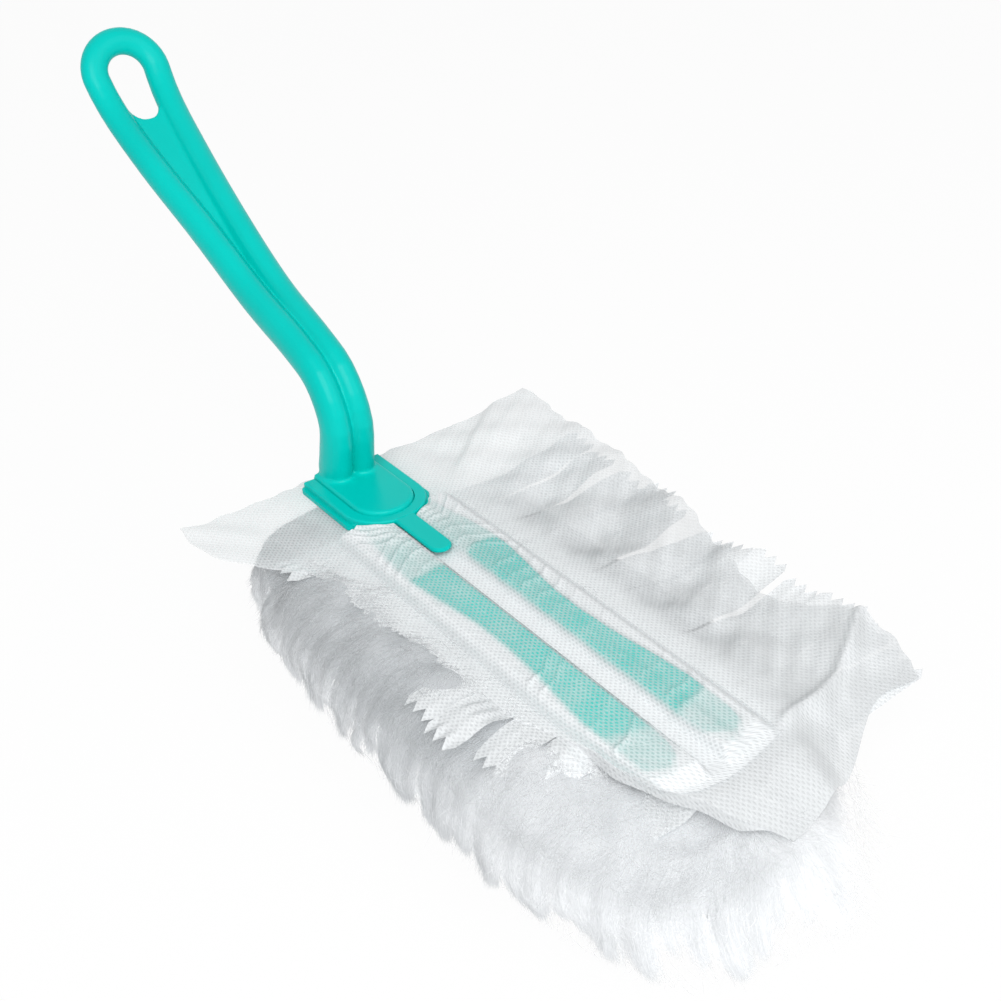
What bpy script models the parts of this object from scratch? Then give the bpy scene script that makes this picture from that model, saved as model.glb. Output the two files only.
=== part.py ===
"""Antistatic duster: a moulded handle, a two-pronged fork and a throw-away fibre refill.

World frame, metres: +X runs from the handle to the tip of the refill, +Z is up, y = 0 is the plane that
the plastic parts are symmetric about. The origin is the middle of the flat that the refill rests on, and
x = 0 is the middle of the two pockets that the prongs slide into.
"""
import math

import bmesh
import bpy
import numpy as np

# Clearance between pieces that touch, and the overrun of every cutter.
CLEARANCE = 0.0003
OVERRUN = 0.002

# Refill as a whole.
POCKET_LENGTH = 0.180
PAD_HEIGHT = 0.036
SHEET_THICKNESS = 0.0004

# Fork: the plate that carries the socket.
PLATE_LENGTH = 0.036
PLATE_WIDTH = 0.036
PLATE_THICKNESS = 0.0016
MOUTH_GAP = 0.0005
PLATE_CORNER_RADIUS = 0.002

# Fork: the raised U-shaped socket that holds the handle's foot.
SOCKET_WIDTH = 0.033
SOCKET_WALL = 0.0042
SOCKET_HEIGHT = 0.0026
SOCKET_FRONT_LENGTH = 0.0108
GROOVE_HEIGHT = 0.0014
GROOVE_DEPTH = 0.0015
SOCKET_EDGE_RADIUS = 0.0007

# Fork: the tongue that holds the middle seam of the refill down.
TONGUE_WIDTH = 0.0082
TONGUE_LENGTH = 0.0265
TONGUE_THICKNESS = 0.0013
TONGUE_LIFT_HEIGHT = 0.0028

# Fork: the prongs.
PRONG_TIP_GAP = 0.0095
PRONG_GAP = 0.0096
PRONG_THICKNESS = 0.0022
FORK_HALF_WIDTH = 0.0200
PRONG_WAIST_DEPTH = 0.0042
BEAD_WIDTH = 0.0042
BEAD_HEIGHT = 0.0008
PRONG_EDGE_WIDTH = 0.0006
# Stations along a prong, as shares of its length, and how far the outer edge has come in from the
# reach there, as shares of the waist depth; the last stations round the tip off.
PRONG_EDGE_SHARES = (
    (0.00, 1.05), (0.06, 0.90), (0.14, 0.35), (0.22, 0.02), (0.28, 0.05), (0.36, 0.45), (0.46, 0.95),
    (0.55, 1.00), (0.65, 0.75), (0.75, 0.25), (0.82, 0.00), (0.88, 0.06),
)
TIP_START_SHARE = 0.90

# Handle: the foot.
FOOT_RAISE_HEIGHT = 0.0014
FOOT_EDGE_RADIUS = 0.0009
FLANGE_HEIGHT = 0.0009

# Handle: one bent rim that runs up the left leg, round the loop and down the right leg.
HANDLE_LENGTH = 0.1605
HANDLE_HEIGHT = 0.1409
LEG_OFFSET = 0.0305
WAIST_OFFSET = 0.0044
LOOP_RADIUS = 0.0132
RIM_HALF_WIDTH = 0.0056
FOOT_HALF_DEPTH = 0.0082
LOOP_HALF_DEPTH = 0.0046
WEB_THICKNESS = 0.0030
HOLE_LENGTH = 0.0305
# Centre line of the handle from the foot to the end of the loop, as shares of its reach and rise.
CENTRE_LINE_SHARES = (
    (0.000, 0.000), (0.002, 0.030), (-0.010, 0.080), (-0.024, 0.188), (0.026, 0.295), (0.122, 0.352),
    (0.306, 0.428), (0.524, 0.557), (0.744, 0.694), (0.905, 0.826), (1.000, 1.000),
)
# Share of the way from the waist offset to the loop radius, at shares of the leg's length.
LEG_SPREAD_SHARES = ((0.0, 0.07), (0.2, 0.0), (0.45, 0.106), (0.6, 0.27), (0.8, 0.647), (1.0, 1.0))
# Share of the way from the loop's half depth to the foot's, at shares of the leg's length.
LEG_DEPTH_SHARES = ((0.0, 1.0), (0.15, 0.74), (0.4, 0.66), (0.7, 0.42), (1.0, 0.0))
WEB_START_SHARE = 0.36
WEB_ROWS = 22
WEB_COLUMNS = 19
LEG_RINGS = 44
LOOP_RINGS = 18
RIM_SIDES = 18

# Holding sheet, the top layer with the two pockets.
SEAM_WIDTH = 0.0052
POCKET_HALF_WIDTH = 0.0262
SIDE_SEAM_WIDTH = 0.0026
HOLDING_FRONT_LENGTH = 0.0025
HOLDING_BOW_LENGTH = 0.005
HOLDING_BOW_POWER = 1.5
POCKET_TAPER_LENGTH = 0.0055

# Base sheet, the wide layer under the pockets. Its left edge is tucked down beside the pockets.
BASE_LENGTH = 0.248
BASE_REAR_LENGTH = 0.042
RIGHT_WING_WIDTH = 0.092
LEFT_WING_WIDTH = 0.066
# How far each edge stands out, as shares of that reach, at shares of the sheet's length.
RIGHT_EDGE_SHARES = (
    (0.0, 1.0), (0.25, 0.98), (0.39, 0.945), (0.55, 0.885), (0.66, 0.80), (0.73, 0.765), (0.80, 0.80),
    (0.87, 0.915), (0.93, 0.92), (1.0, 0.87),
)
LEFT_EDGE_SHARES = (
    (0.0, 1.0), (0.10, 0.97), (0.24, 0.50), (0.4, 0.43), (0.7, 0.41), (0.88, 0.18), (1.0, -0.05),
)
# How far the front edge falls back, as shares of the base length, from the left edge to the right one.
FRONT_FALL_SHARES = (
    (-2.0, 0.012), (-1.0, 0.014), (0.0, 0.024), (1.0, 0.038), (1.2, 0.055), (1.5, 0.096), (1.7, 0.118),
    (2.0, 0.105),
)
LEFT_EDGE_WIDTH = 0.006
RIGHT_WING_HEIGHT = 0.002
LEFT_WING_HEIGHT = 0.002
WING_RIPPLE_HEIGHT = 0.0010
WING_WAVE_LENGTH = 0.060

# Strip sheet, with strips cut along both sides and their ends pinked.
STRIP_SHEET_LENGTH = 0.180
STRIP_COUNT = 12
STRIP_SLIT_WIDTH = 0.0017
STRIP_TEETH = 3
STRIP_TOOTH_LENGTH = 0.0035
STRIP_ROOT_HALF_WIDTH = 0.030
STRIP_RIGHT_LENGTH = 0.082
STRIP_LEFT_LENGTH = 0.050

# Fibre tow: four layers in one drooping, tufted mass.
FLUFF_LENGTH = 0.244
FLUFF_WIDTH = 0.122
FLUFF_CENTRE_X = -0.005
FLUFF_SHAPE_POWER = 3.6
FLUFF_DROP_HEIGHT = 0.010
FLUFF_SHOULDER_SHARE = 0.42
SHEET_LIFT_HEIGHT = 0.0012
SHEET_LIFT_START_SHARE = 0.6
SHEET_LEVEL_SHARE = 0.97
REAR_DROOP_SHARE = 0.2
FLAT_CUT_DEPTH = 0.0005
LAYER_DEPTH_SHARES = (0.0, 0.22, 0.46, 0.72)
LAYER_DROOP_SHARES = (1.0, 1.15, 0.9, 0.5)
LAYER_EDGE_SHARES = (0.93, 1.00, 0.97, 0.92, 0.84)
EDGE_BULGE_SHARE = 0.03
FLOOR_CURL_HEIGHT = 0.0015
FLOOR_CURL_POWER = 8
TUFT_SHARE = 0.03
TUFT_START_SHARE = 0.85
TUFT_COUNT = 9
FINE_TUFT_COUNT = 17
TUFT_SLANT_HEIGHT = 0.070
FLUFF_SECTORS = 44

# Places that follow from the sizes.
POCKET_MOUTH_X = -POCKET_LENGTH / 2
POCKET_END_X = POCKET_LENGTH / 2
PLATE_FRONT_X = POCKET_MOUTH_X - MOUTH_GAP
PLATE_REAR_X = PLATE_FRONT_X - PLATE_LENGTH
PLATE_BOTTOM_Z = PAD_HEIGHT
PLATE_TOP_Z = PLATE_BOTTOM_Z + PLATE_THICKNESS
PRONG_LENGTH = POCKET_END_X - PRONG_TIP_GAP - PLATE_FRONT_X
SOCKET_TOP_Z = PLATE_TOP_Z + SOCKET_HEIGHT
SOCKET_FRONT_X = PLATE_FRONT_X + SOCKET_FRONT_LENGTH
BASE_TOP_Z = PAD_HEIGHT - CLEARANCE
BASE_MIDDLE_Z = BASE_TOP_Z - SHEET_THICKNESS / 2
STRIP_MIDDLE_Z = BASE_MIDDLE_Z - SHEET_THICKNESS - CLEARANCE
FLUFF_TOP_Z = STRIP_MIDDLE_Z - SHEET_THICKNESS / 2 - CLEARANCE

TEAL = (0.0, 0.52, 0.46)
CLOTH_WHITE = (0.90, 0.91, 0.92)
FIBRE_WHITE = (0.84, 0.86, 0.88)


def clear_scene():
    """Remove every object that is already there."""
    for old in list(bpy.data.objects):
        bpy.data.objects.remove(old, do_unlink=True)


def make_material(name, colour, roughness):
    """A plain Principled material."""
    material = bpy.data.materials.new(name)
    material.use_nodes = True
    shader = material.node_tree.nodes["Principled BSDF"]
    shader.inputs["Base Color"].default_value = (*colour, 1.0)
    shader.inputs["Roughness"].default_value = roughness
    shader.inputs["Metallic"].default_value = 0.0
    return material


def add_object(name, bm, material=None, origin=(0.0, 0.0, 0.0), sharp_angle=math.radians(40)):
    """Put a bmesh in the scene as one object, shaded smooth with sharp edges kept."""
    bmesh.ops.recalc_face_normals(bm, faces=bm.faces)
    bmesh.ops.translate(bm, verts=bm.verts, vec=[-value for value in origin])
    mesh = bpy.data.meshes.new(name)
    bm.to_mesh(mesh)
    bm.free()
    obj = bpy.data.objects.new(name, mesh)
    obj.location = origin
    bpy.context.collection.objects.link(obj)
    mesh.shade_smooth()
    mesh.set_sharp_from_angle(angle=sharp_angle)
    if material:
        mesh.materials.append(material)
    return obj


def hide_tool(obj):
    """Mark an object as a cutter or an operand, which is not part of the duster."""
    obj.hide_render = True
    obj.display_type = "WIRE"
    return obj


def add_boolean(target, tool, operation):
    """Join or cut with the exact solver."""
    modifier = target.modifiers.new(operation.title(), "BOOLEAN")
    modifier.operation = operation
    modifier.solver = "EXACT"
    modifier.use_self = operation == "UNION"
    modifier.object = hide_tool(tool)
    return modifier


def smooth_step(value, low, high):
    """0 below low, 1 above high, and a smooth cubic between them."""
    share = np.clip((value - low) / (high - low), 0.0, 1.0)
    return share * share * (3.0 - 2.0 * share)


def catmull_rom(points, samples):
    """A smooth curve through the points, sampled evenly by arc length, as positions and tangents."""
    points = np.array(points, dtype=float)
    ends = np.vstack([2 * points[0] - points[1], points, 2 * points[-1] - points[-2]])
    pieces = []
    steps = np.linspace(0.0, 1.0, 24, endpoint=False)[:, None]
    for index in range(len(points) - 1):
        p0, p1, p2, p3 = ends[index:index + 4]
        pieces.append(0.5 * (2 * p1 + (p2 - p0) * steps + (2 * p0 - 5 * p1 + 4 * p2 - p3) * steps ** 2
                             + (3 * p1 - p0 - 3 * p2 + p3) * steps ** 3))
    curve = np.vstack(pieces + [points[-1:]])
    run = np.concatenate([[0.0], np.cumsum(np.linalg.norm(np.diff(curve, axis=0), axis=1))])
    stations = np.asarray(samples) * run[-1]
    position = np.column_stack([np.interp(stations, run, column) for column in curve.T])
    slope = np.gradient(curve, run, axis=0)
    tangent = np.column_stack([np.interp(stations, run, column) for column in slope.T])
    tangent /= np.linalg.norm(tangent, axis=1, keepdims=True)
    return position, tangent, run[-1]


def eased(table, share):
    """Value of a table of shares at some share of the length, eased between its rows."""
    keys = np.array([row[0] for row in table])
    values = np.array([row[1] for row in table])
    slopes = np.gradient(values, keys)
    share = np.clip(share, keys[0], keys[-1])
    index = np.clip(np.searchsorted(keys, share, side="right") - 1, 0, len(keys) - 2)
    span = keys[index + 1] - keys[index]
    t = (share - keys[index]) / span
    return ((2 * t ** 3 - 3 * t ** 2 + 1) * values[index] + (t ** 3 - 2 * t ** 2 + t) * span * slopes[index]
            + (3 * t ** 2 - 2 * t ** 3) * values[index + 1] + (t ** 3 - t ** 2) * span * slopes[index + 1])


def prism(outline, bottom, top):
    """Extrude a flat outline of (x, y) points from one height to another."""
    bm = bmesh.new()
    face = bm.faces.new([bm.verts.new((x, y, bottom)) for x, y in outline])
    raised = bmesh.ops.extrude_face_region(bm, geom=[face])
    moved = [item for item in raised["geom"] if isinstance(item, bmesh.types.BMVert)]
    bmesh.ops.translate(bm, verts=moved, vec=(0, 0, top - bottom))
    return bm


def bevel_rim(bm, height, width, segments=3):
    """Round the edges that lie at one height."""
    near = CLEARANCE / 10
    edges = [edge for edge in bm.edges if all(abs(vert.co.z - height) < near for vert in edge.verts)]
    bmesh.ops.bevel(bm, geom=edges, offset=width, segments=segments, profile=0.5, affect="EDGES")


def socket_outline(half_width, front_x, rear_x, steps=24):
    """A U outline: straight sides from the rear, closed by a half circle at the front."""
    centre_x = front_x - half_width
    angles = np.linspace(-math.pi / 2, math.pi / 2, steps + 1)
    arc = [(centre_x + half_width * math.cos(a), half_width * math.sin(a)) for a in angles]
    return [(rear_x, -half_width)] + arc + [(rear_x, half_width)]


def loft(rings, strip_ends=False):
    """Skin a list of rings of points, each with the same count, and cap both ends, with strips if asked."""
    bm = bmesh.new()
    loops = [[bm.verts.new(point) for point in ring] for ring in rings]
    count = len(loops[0])
    for first, second in zip(loops, loops[1:]):
        for index in range(count):
            following = (index + 1) % count
            bm.faces.new((first[index], first[following], second[following], second[index]))
    for loop in (loops[0], loops[-1]):
        if strip_ends:
            for index in range(count // 2 - 1):
                bm.faces.new((loop[index], loop[index + 1], loop[count - 2 - index], loop[count - 1 - index]))
        else:
            bm.faces.new(loop)
    return bm


def handle_frame(shares):
    """Places, tangents and normals of the handle's centre line in the x z plane."""
    start_x = PLATE_FRONT_X - LEG_OFFSET
    start_z = PLATE_TOP_Z + CLEARANCE + FLANGE_HEIGHT / 2
    points = [(start_x - HANDLE_LENGTH * back, start_z + HANDLE_HEIGHT * up)
              for back, up in CENTRE_LINE_SHARES]
    position, tangent, length = catmull_rom(points, shares)
    place = np.column_stack([position[:, 0], np.zeros(len(position)), position[:, 1]])
    along = np.column_stack([tangent[:, 0], np.zeros(len(position)), tangent[:, 1]])
    normal = np.column_stack([tangent[:, 1], np.zeros(len(position)), -tangent[:, 0]])
    return place, along, normal, length


def handle_rim():
    """The hairpin rim: an elliptical section carried up one leg, round the loop and down the other."""
    length = handle_frame(np.array([0.0]))[3]
    leg = length - LOOP_RADIUS - RIM_HALF_WIDTH
    leg_share = np.linspace(0.0, 1.0, LEG_RINGS)
    turn = np.linspace(0.0, math.pi, LOOP_RINGS + 2)[1:-1]
    run = np.concatenate([leg * leg_share, leg + LOOP_RADIUS * np.sin(turn), leg * leg_share[::-1]])
    spread = WAIST_OFFSET + (LOOP_RADIUS - WAIST_OFFSET) * eased(LEG_SPREAD_SHARES, leg_share)
    side = np.concatenate([-spread, -LOOP_RADIUS * np.cos(turn), spread[::-1]])
    depth_share = eased(LEG_DEPTH_SHARES, np.clip(run / leg, 0.0, 1.0))
    depth = LOOP_HALF_DEPTH + (FOOT_HALF_DEPTH - LOOP_HALF_DEPTH) * depth_share
    place, along, normal, _ = handle_frame(run / length)
    across = np.array([0.0, 1.0, 0.0])
    centre = place + side[:, None] * across
    step_run = np.gradient(run)
    step_side = np.gradient(side)
    size = np.hypot(step_run, step_side)
    outward = along * (-step_side / size)[:, None] + across * (step_run / size)[:, None]
    angles = np.linspace(0.0, 2 * math.pi, RIM_SIDES, endpoint=False)
    rings = (centre[:, None, :]
             + RIM_HALF_WIDTH * np.cos(angles)[None, :, None] * outward[:, None, :]
             + (depth[:, None] * np.sin(angles)[None, :])[:, :, None] * normal[:, None, :])
    return loft(rings)


def handle_web():
    """The recessed web between the legs, with a hollow round end at the hanging hole."""
    length = handle_frame(np.array([0.0]))[3]
    leg = length - LOOP_RADIUS - RIM_HALF_WIDTH
    hole_bottom = length - 2 * RIM_HALF_WIDTH - HOLE_LENGTH
    start = leg * WEB_START_SHARE
    across = np.array([0.0, 1.0, 0.0])

    def leg_spread(run):
        return WAIST_OFFSET + (LOOP_RADIUS - WAIST_OFFSET) * eased(LEG_SPREAD_SHARES, run / leg)

    hole_half_width = float(leg_spread(hole_bottom)) - RIM_HALF_WIDTH
    side_share = np.linspace(-1.0, 1.0, WEB_COLUMNS)
    end_side = side_share * float(leg_spread(hole_bottom + hole_half_width))
    round_share = np.clip(np.abs(end_side) / hole_half_width, 0.0, 1.0)
    end_run = hole_bottom + hole_half_width * (1.0 - np.sqrt(1.0 - round_share ** 2))
    rings = []
    for share in np.linspace(0.0, 1.0, WEB_ROWS):
        run = start + (end_run - start) * share
        place, _, normal, _ = handle_frame(run / length)
        centre = place + (side_share * leg_spread(run))[:, None] * across
        top = centre + normal * WEB_THICKNESS / 2
        bottom = centre - normal * WEB_THICKNESS / 2
        rings.append(np.vstack([top, bottom[::-1]]))
    return loft(rings, strip_ends=True)


def handle_foot():
    """The foot plate: its flange runs in the socket's groove, and its raised part fills the U."""
    bottom = PLATE_TOP_Z + CLEARANCE
    top = SOCKET_TOP_Z + FOOT_RAISE_HEIGHT
    half_width = SOCKET_WIDTH / 2 - SOCKET_WALL - CLEARANCE
    front_x = SOCKET_FRONT_X - SOCKET_WALL - CLEARANCE
    body = prism(socket_outline(half_width, front_x, PLATE_REAR_X), bottom, top)
    bevel_rim(body, top, FOOT_EDGE_RADIUS)
    reach = GROOVE_DEPTH
    flange = prism(socket_outline(half_width + reach, front_x + reach, PLATE_REAR_X), bottom,
                   bottom + FLANGE_HEIGHT)
    return body, flange


def make_handle(material):
    """One moulding: rim, web and foot."""
    body, flange = handle_foot()
    slide_start = (PLATE_FRONT_X - LEG_OFFSET, 0.0, PLATE_TOP_Z + CLEARANCE)
    handle = add_object("handle", body, material, slide_start)
    add_boolean(handle, add_object("handle_flange_tool", flange), "UNION")
    add_boolean(handle, add_object("handle_rim_tool", handle_rim()), "UNION")
    add_boolean(handle, add_object("handle_web_tool", handle_web()), "UNION")
    return handle


def prong_rings(side):
    """Sections of one prong along its length: a flat blade with a raised bead at its inner edge."""
    stations = [row[0] for row in PRONG_EDGE_SHARES]
    tip_shares = [TIP_START_SHARE + (1.0 - TIP_START_SHARE) * math.sin(angle)
                  for angle in np.linspace(0.0, math.pi / 2, 7)[:-1]]
    inner = PRONG_GAP / 2
    bottom = PLATE_BOTTOM_Z
    blade_top = bottom + PRONG_THICKNESS
    bead_top = blade_top + BEAD_HEIGHT
    rings = []
    for share in stations + tip_shares:
        edge = FORK_HALF_WIDTH - PRONG_WAIST_DEPTH * float(eased(PRONG_EDGE_SHARES, share))
        near = inner
        if share > TIP_START_SHARE:
            narrowing = math.sqrt(1.0 - ((share - TIP_START_SHARE) / (1.0 - TIP_START_SHARE)) ** 2)
            middle = (edge + inner + BEAD_WIDTH / 2) / 2
            edge = middle + (edge - middle) * narrowing
            near = middle - (middle - inner) * narrowing
        fall = smooth_step(share, TIP_START_SHARE - PRONG_THICKNESS / PRONG_LENGTH, 1.0)
        bead = bead_top - BEAD_HEIGHT * float(fall)
        x = PLATE_FRONT_X + PRONG_LENGTH * share
        span = edge - near
        bead_share = min(BEAD_WIDTH, span / 3)
        section = [
            (near + PRONG_EDGE_WIDTH, bottom), (near, bottom + PRONG_EDGE_WIDTH), (near, blade_top),
            (near + bead_share / 4, bead), (near + bead_share * 3 / 4, bead), (near + bead_share, blade_top),
            (edge - PRONG_EDGE_WIDTH, blade_top), (edge, blade_top - PRONG_EDGE_WIDTH),
            (edge, bottom + PRONG_EDGE_WIDTH), (edge - PRONG_EDGE_WIDTH, bottom),
        ]
        rings.append([(x, side * y, z) for y, z in section])
    return rings


def make_fork(material):
    """One moulding: plate, U-shaped socket, hold-down tongue and two waisted prongs."""
    half = PLATE_WIDTH / 2
    outline = [(PLATE_REAR_X, -half), (PLATE_FRONT_X, -half), (PLATE_FRONT_X, half), (PLATE_REAR_X, half)]
    plate = prism(outline, PLATE_BOTTOM_Z, PLATE_TOP_Z)
    corners = [edge for edge in plate.edges
               if abs(edge.verts[0].co.z - edge.verts[1].co.z) > PLATE_THICKNESS / 2]
    bmesh.ops.bevel(plate, geom=corners, offset=PLATE_CORNER_RADIUS, segments=3, profile=0.5, affect="EDGES")
    fork = add_object("fork", plate, material, (PLATE_FRONT_X, 0.0, PLATE_BOTTOM_Z))

    outer = SOCKET_WIDTH / 2
    lip = prism(socket_outline(outer, SOCKET_FRONT_X, PLATE_REAR_X + SOCKET_EDGE_RADIUS),
                PLATE_BOTTOM_Z + PRONG_EDGE_WIDTH, SOCKET_TOP_Z)
    bevel_rim(lip, SOCKET_TOP_Z, SOCKET_EDGE_RADIUS)
    add_boolean(fork, add_object("fork_lip_tool", lip), "UNION")

    for side, name in ((-1, "left"), (1, "right")):
        rings = prong_rings(side)
        rings[0] = [(x - PLATE_LENGTH / 4, y, z) for x, y, z in rings[0]]
        prong = loft(rings)
        add_boolean(fork, add_object(f"fork_{name}_prong_tool", prong), "UNION")

    tongue_rear = SOCKET_FRONT_X - SOCKET_WALL * 3 / 4
    tongue_front = SOCKET_FRONT_X + TONGUE_LENGTH
    tongue_bottom = PLATE_BOTTOM_Z + TONGUE_LIFT_HEIGHT
    tongue_top = tongue_bottom + TONGUE_THICKNESS
    tongue = prism(socket_outline(TONGUE_WIDTH / 2, tongue_front, tongue_rear, 12), tongue_bottom, tongue_top)
    bevel_rim(tongue, tongue_top, SOCKET_EDGE_RADIUS, 2)
    add_boolean(fork, add_object("fork_tongue_tool", tongue), "UNION")

    inner = outer - SOCKET_WALL
    inner_front = SOCKET_FRONT_X - SOCKET_WALL
    rear = PLATE_REAR_X - OVERRUN
    pocket = prism(socket_outline(inner, inner_front, rear), PLATE_TOP_Z, SOCKET_TOP_Z + OVERRUN)
    add_boolean(fork, add_object("fork_socket_cutter", pocket), "DIFFERENCE")
    groove = prism(socket_outline(inner + GROOVE_DEPTH, inner_front + GROOVE_DEPTH, rear), PLATE_TOP_Z,
                   PLATE_TOP_Z + GROOVE_HEIGHT)
    add_boolean(fork, add_object("fork_groove_cutter", groove), "DIFFERENCE")
    return fork


def tunnel_height(y):
    """Height of the holding sheet's underside over the pad, from the middle seam to the side seam."""
    y = np.abs(y)
    inner = PRONG_GAP / 2
    bead_clear = PRONG_THICKNESS + BEAD_HEIGHT + 2 * CLEARANCE
    blade_clear = PRONG_THICKNESS + 2 * CLEARANCE
    seam = SEAM_WIDTH / 2
    rise_end = inner + BEAD_WIDTH / 8
    outer_start = FORK_HALF_WIDTH + CLEARANCE
    outer_end = POCKET_HALF_WIDTH - SIDE_SEAM_WIDTH
    rise = smooth_step(y, seam, rise_end)
    bead_fall = smooth_step(y, inner + BEAD_WIDTH, inner + 2 * BEAD_WIDTH)
    outer_fall = smooth_step(y, outer_start, outer_end)
    return (bead_clear - (bead_clear - blade_clear) * bead_fall) * rise * (1.0 - outer_fall)


def grid_sheet(name, points, material):
    """A thin closed sheet from a grid of points on its middle surface."""
    rows, columns = points.shape[:2]
    bm = bmesh.new()
    verts = [[bm.verts.new(points[row, column]) for column in range(columns)] for row in range(rows)]
    for row in range(rows - 1):
        for column in range(columns - 1):
            bm.faces.new((verts[row][column], verts[row][column + 1],
                          verts[row + 1][column + 1], verts[row + 1][column]))
    obj = add_object(name, bm, material)
    thicken(obj)
    return obj


def thicken(obj):
    """Give a sheet its thickness, half to each side."""
    modifier = obj.modifiers.new("Thickness", "SOLIDIFY")
    modifier.thickness = SHEET_THICKNESS
    modifier.offset = 0.0
    modifier.use_rim = True
    modifier.use_even_offset = False


def make_holding_sheet(material):
    """The top layer: two pockets side by side, welded along the middle and both sides."""
    inner = PRONG_GAP / 2
    half_row = [0.0, SEAM_WIDTH / 2, (SEAM_WIDTH / 2 + inner) / 2, inner, inner + BEAD_WIDTH / 4,
                inner + BEAD_WIDTH, inner + BEAD_WIDTH * 3 / 2, inner + 2 * BEAD_WIDTH,
                (inner + 2 * BEAD_WIDTH + FORK_HALF_WIDTH) / 2, FORK_HALF_WIDTH + CLEARANCE,
                (FORK_HALF_WIDTH + POCKET_HALF_WIDTH - SIDE_SEAM_WIDTH) / 2,
                POCKET_HALF_WIDTH - SIDE_SEAM_WIDTH, POCKET_HALF_WIDTH]
    y = np.array([-value for value in half_row[:0:-1]] + half_row)
    lip_radius = SOCKET_WIDTH / 2 + 2 * CLEARANCE
    lip_front = SOCKET_FRONT_X - SOCKET_WIDTH / 2 + np.sqrt(np.clip(lip_radius ** 2 - y ** 2, 0.0, None))
    mouth = np.where(np.abs(y) < lip_radius, np.maximum(lip_front, POCKET_MOUTH_X), POCKET_MOUTH_X)
    end = POCKET_END_X - HOLDING_BOW_LENGTH * np.abs(y / POCKET_HALF_WIDTH) ** HOLDING_BOW_POWER
    taper_end = end - HOLDING_FRONT_LENGTH
    taper_start = taper_end - POCKET_TAPER_LENGTH
    rows = [mouth + (taper_start - mouth) * share for share in np.linspace(0.0, 1.0, 10)]
    rows += [taper_start + POCKET_TAPER_LENGTH * share for share in np.linspace(0.0, 1.0, 6)[1:]]
    rows.append(end)
    grid_x = np.array(rows)
    grid_y = np.broadcast_to(y, grid_x.shape)
    closing = 1.0 - smooth_step(grid_x, taper_start, taper_end)
    lift = SHEET_THICKNESS / 2
    z = PAD_HEIGHT + lift + tunnel_height(grid_y) * closing
    return grid_sheet("holding_sheet", np.dstack([grid_x, grid_y, z]), material)


def fluff_share(x, y):
    """How far out a place is in the fibre mass, from 0 at its middle to 1 at its edge."""
    along = np.abs((x - FLUFF_CENTRE_X) / (FLUFF_LENGTH / 2))
    across = np.abs(y / (FLUFF_WIDTH / 2))
    return (along ** FLUFF_SHAPE_POWER + across ** FLUFF_SHAPE_POWER) ** (1.0 / FLUFF_SHAPE_POWER)


def fluff_droop(share):
    """How far the top of the fibre mass has drooped at some share of the way out."""
    past = np.clip((share - FLUFF_SHOULDER_SHARE) / (1.0 - FLUFF_SHOULDER_SHARE), 0.0, None)
    return FLUFF_DROP_HEIGHT * past ** 2


def sheet_droop(x, y):
    """How far the sheets droop over the fibre at some place; near the edge they stand off its tufts."""
    share = np.minimum(fluff_share(x, y), SHEET_LEVEL_SHARE)
    droop = fluff_droop(share) - SHEET_LIFT_HEIGHT * smooth_step(share, SHEET_LIFT_START_SHARE, 1.0)
    rear = smooth_step(FLUFF_CENTRE_X - x, 0.0, FLUFF_LENGTH / 2)
    return droop * (1.0 - (1.0 - REAR_DROOP_SHARE) * rear)


def base_height(x, y):
    """Middle surface of the base sheet: flat under the pockets, one wing level, the other drooping."""
    droop = sheet_droop(x, y)
    out_right = smooth_step(y, POCKET_HALF_WIDTH, RIGHT_WING_WIDTH)
    out_left = smooth_step(-y, POCKET_HALF_WIDTH, LEFT_WING_WIDTH)
    wave = 1.0 + np.sin(x * 2 * math.pi / WING_WAVE_LENGTH)
    over_fluff = BASE_MIDDLE_Z - droop * (1.0 - out_right)
    return (over_fluff + RIGHT_WING_HEIGHT * out_right + LEFT_WING_HEIGHT * out_left
            + WING_RIPPLE_HEIGHT * (out_right + out_left) * wave)


def make_base_sheet(material):
    """The wide middle layer, whose wings stand out past the pockets."""
    along, side = np.meshgrid(np.linspace(0.0, 1.0, 27), np.linspace(-2.0, 2.0, 29), indexing="ij")
    rear = POCKET_MOUTH_X - BASE_REAR_LENGTH
    grid_x = rear + BASE_LENGTH * along * (1.0 - eased(FRONT_FALL_SHARES, side))
    left = -LEFT_WING_WIDTH * eased(LEFT_EDGE_SHARES, along)
    right = RIGHT_WING_WIDTH * eased(RIGHT_EDGE_SHARES, along)
    inner_left = np.maximum(left + LEFT_EDGE_WIDTH, -POCKET_HALF_WIDTH)
    grid_y = np.where(side < -1.0, inner_left + (left - inner_left) * (-side - 1.0),
                      inner_left + (POCKET_HALF_WIDTH - inner_left) * (side + 1.0) / 2)
    grid_y = np.where(side > 1.0, POCKET_HALF_WIDTH + (right - POCKET_HALF_WIDTH) * (side - 1.0), grid_y)
    z = base_height(grid_x, grid_y)
    return grid_sheet("base_sheet", np.dstack([grid_x, grid_y, z]), material)


def strip_height(x, y):
    """Middle surface of the strip sheet: on the fibre at the left, close under the base sheet to the right."""
    on_fibre = STRIP_MIDDLE_Z - sheet_droop(x, y)
    under_base = base_height(x, y) - SHEET_THICKNESS - CLEARANCE
    level = smooth_step(y, POCKET_HALF_WIDTH, STRIP_RIGHT_LENGTH)
    return on_fibre * (1.0 - level) + under_base * level


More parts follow.
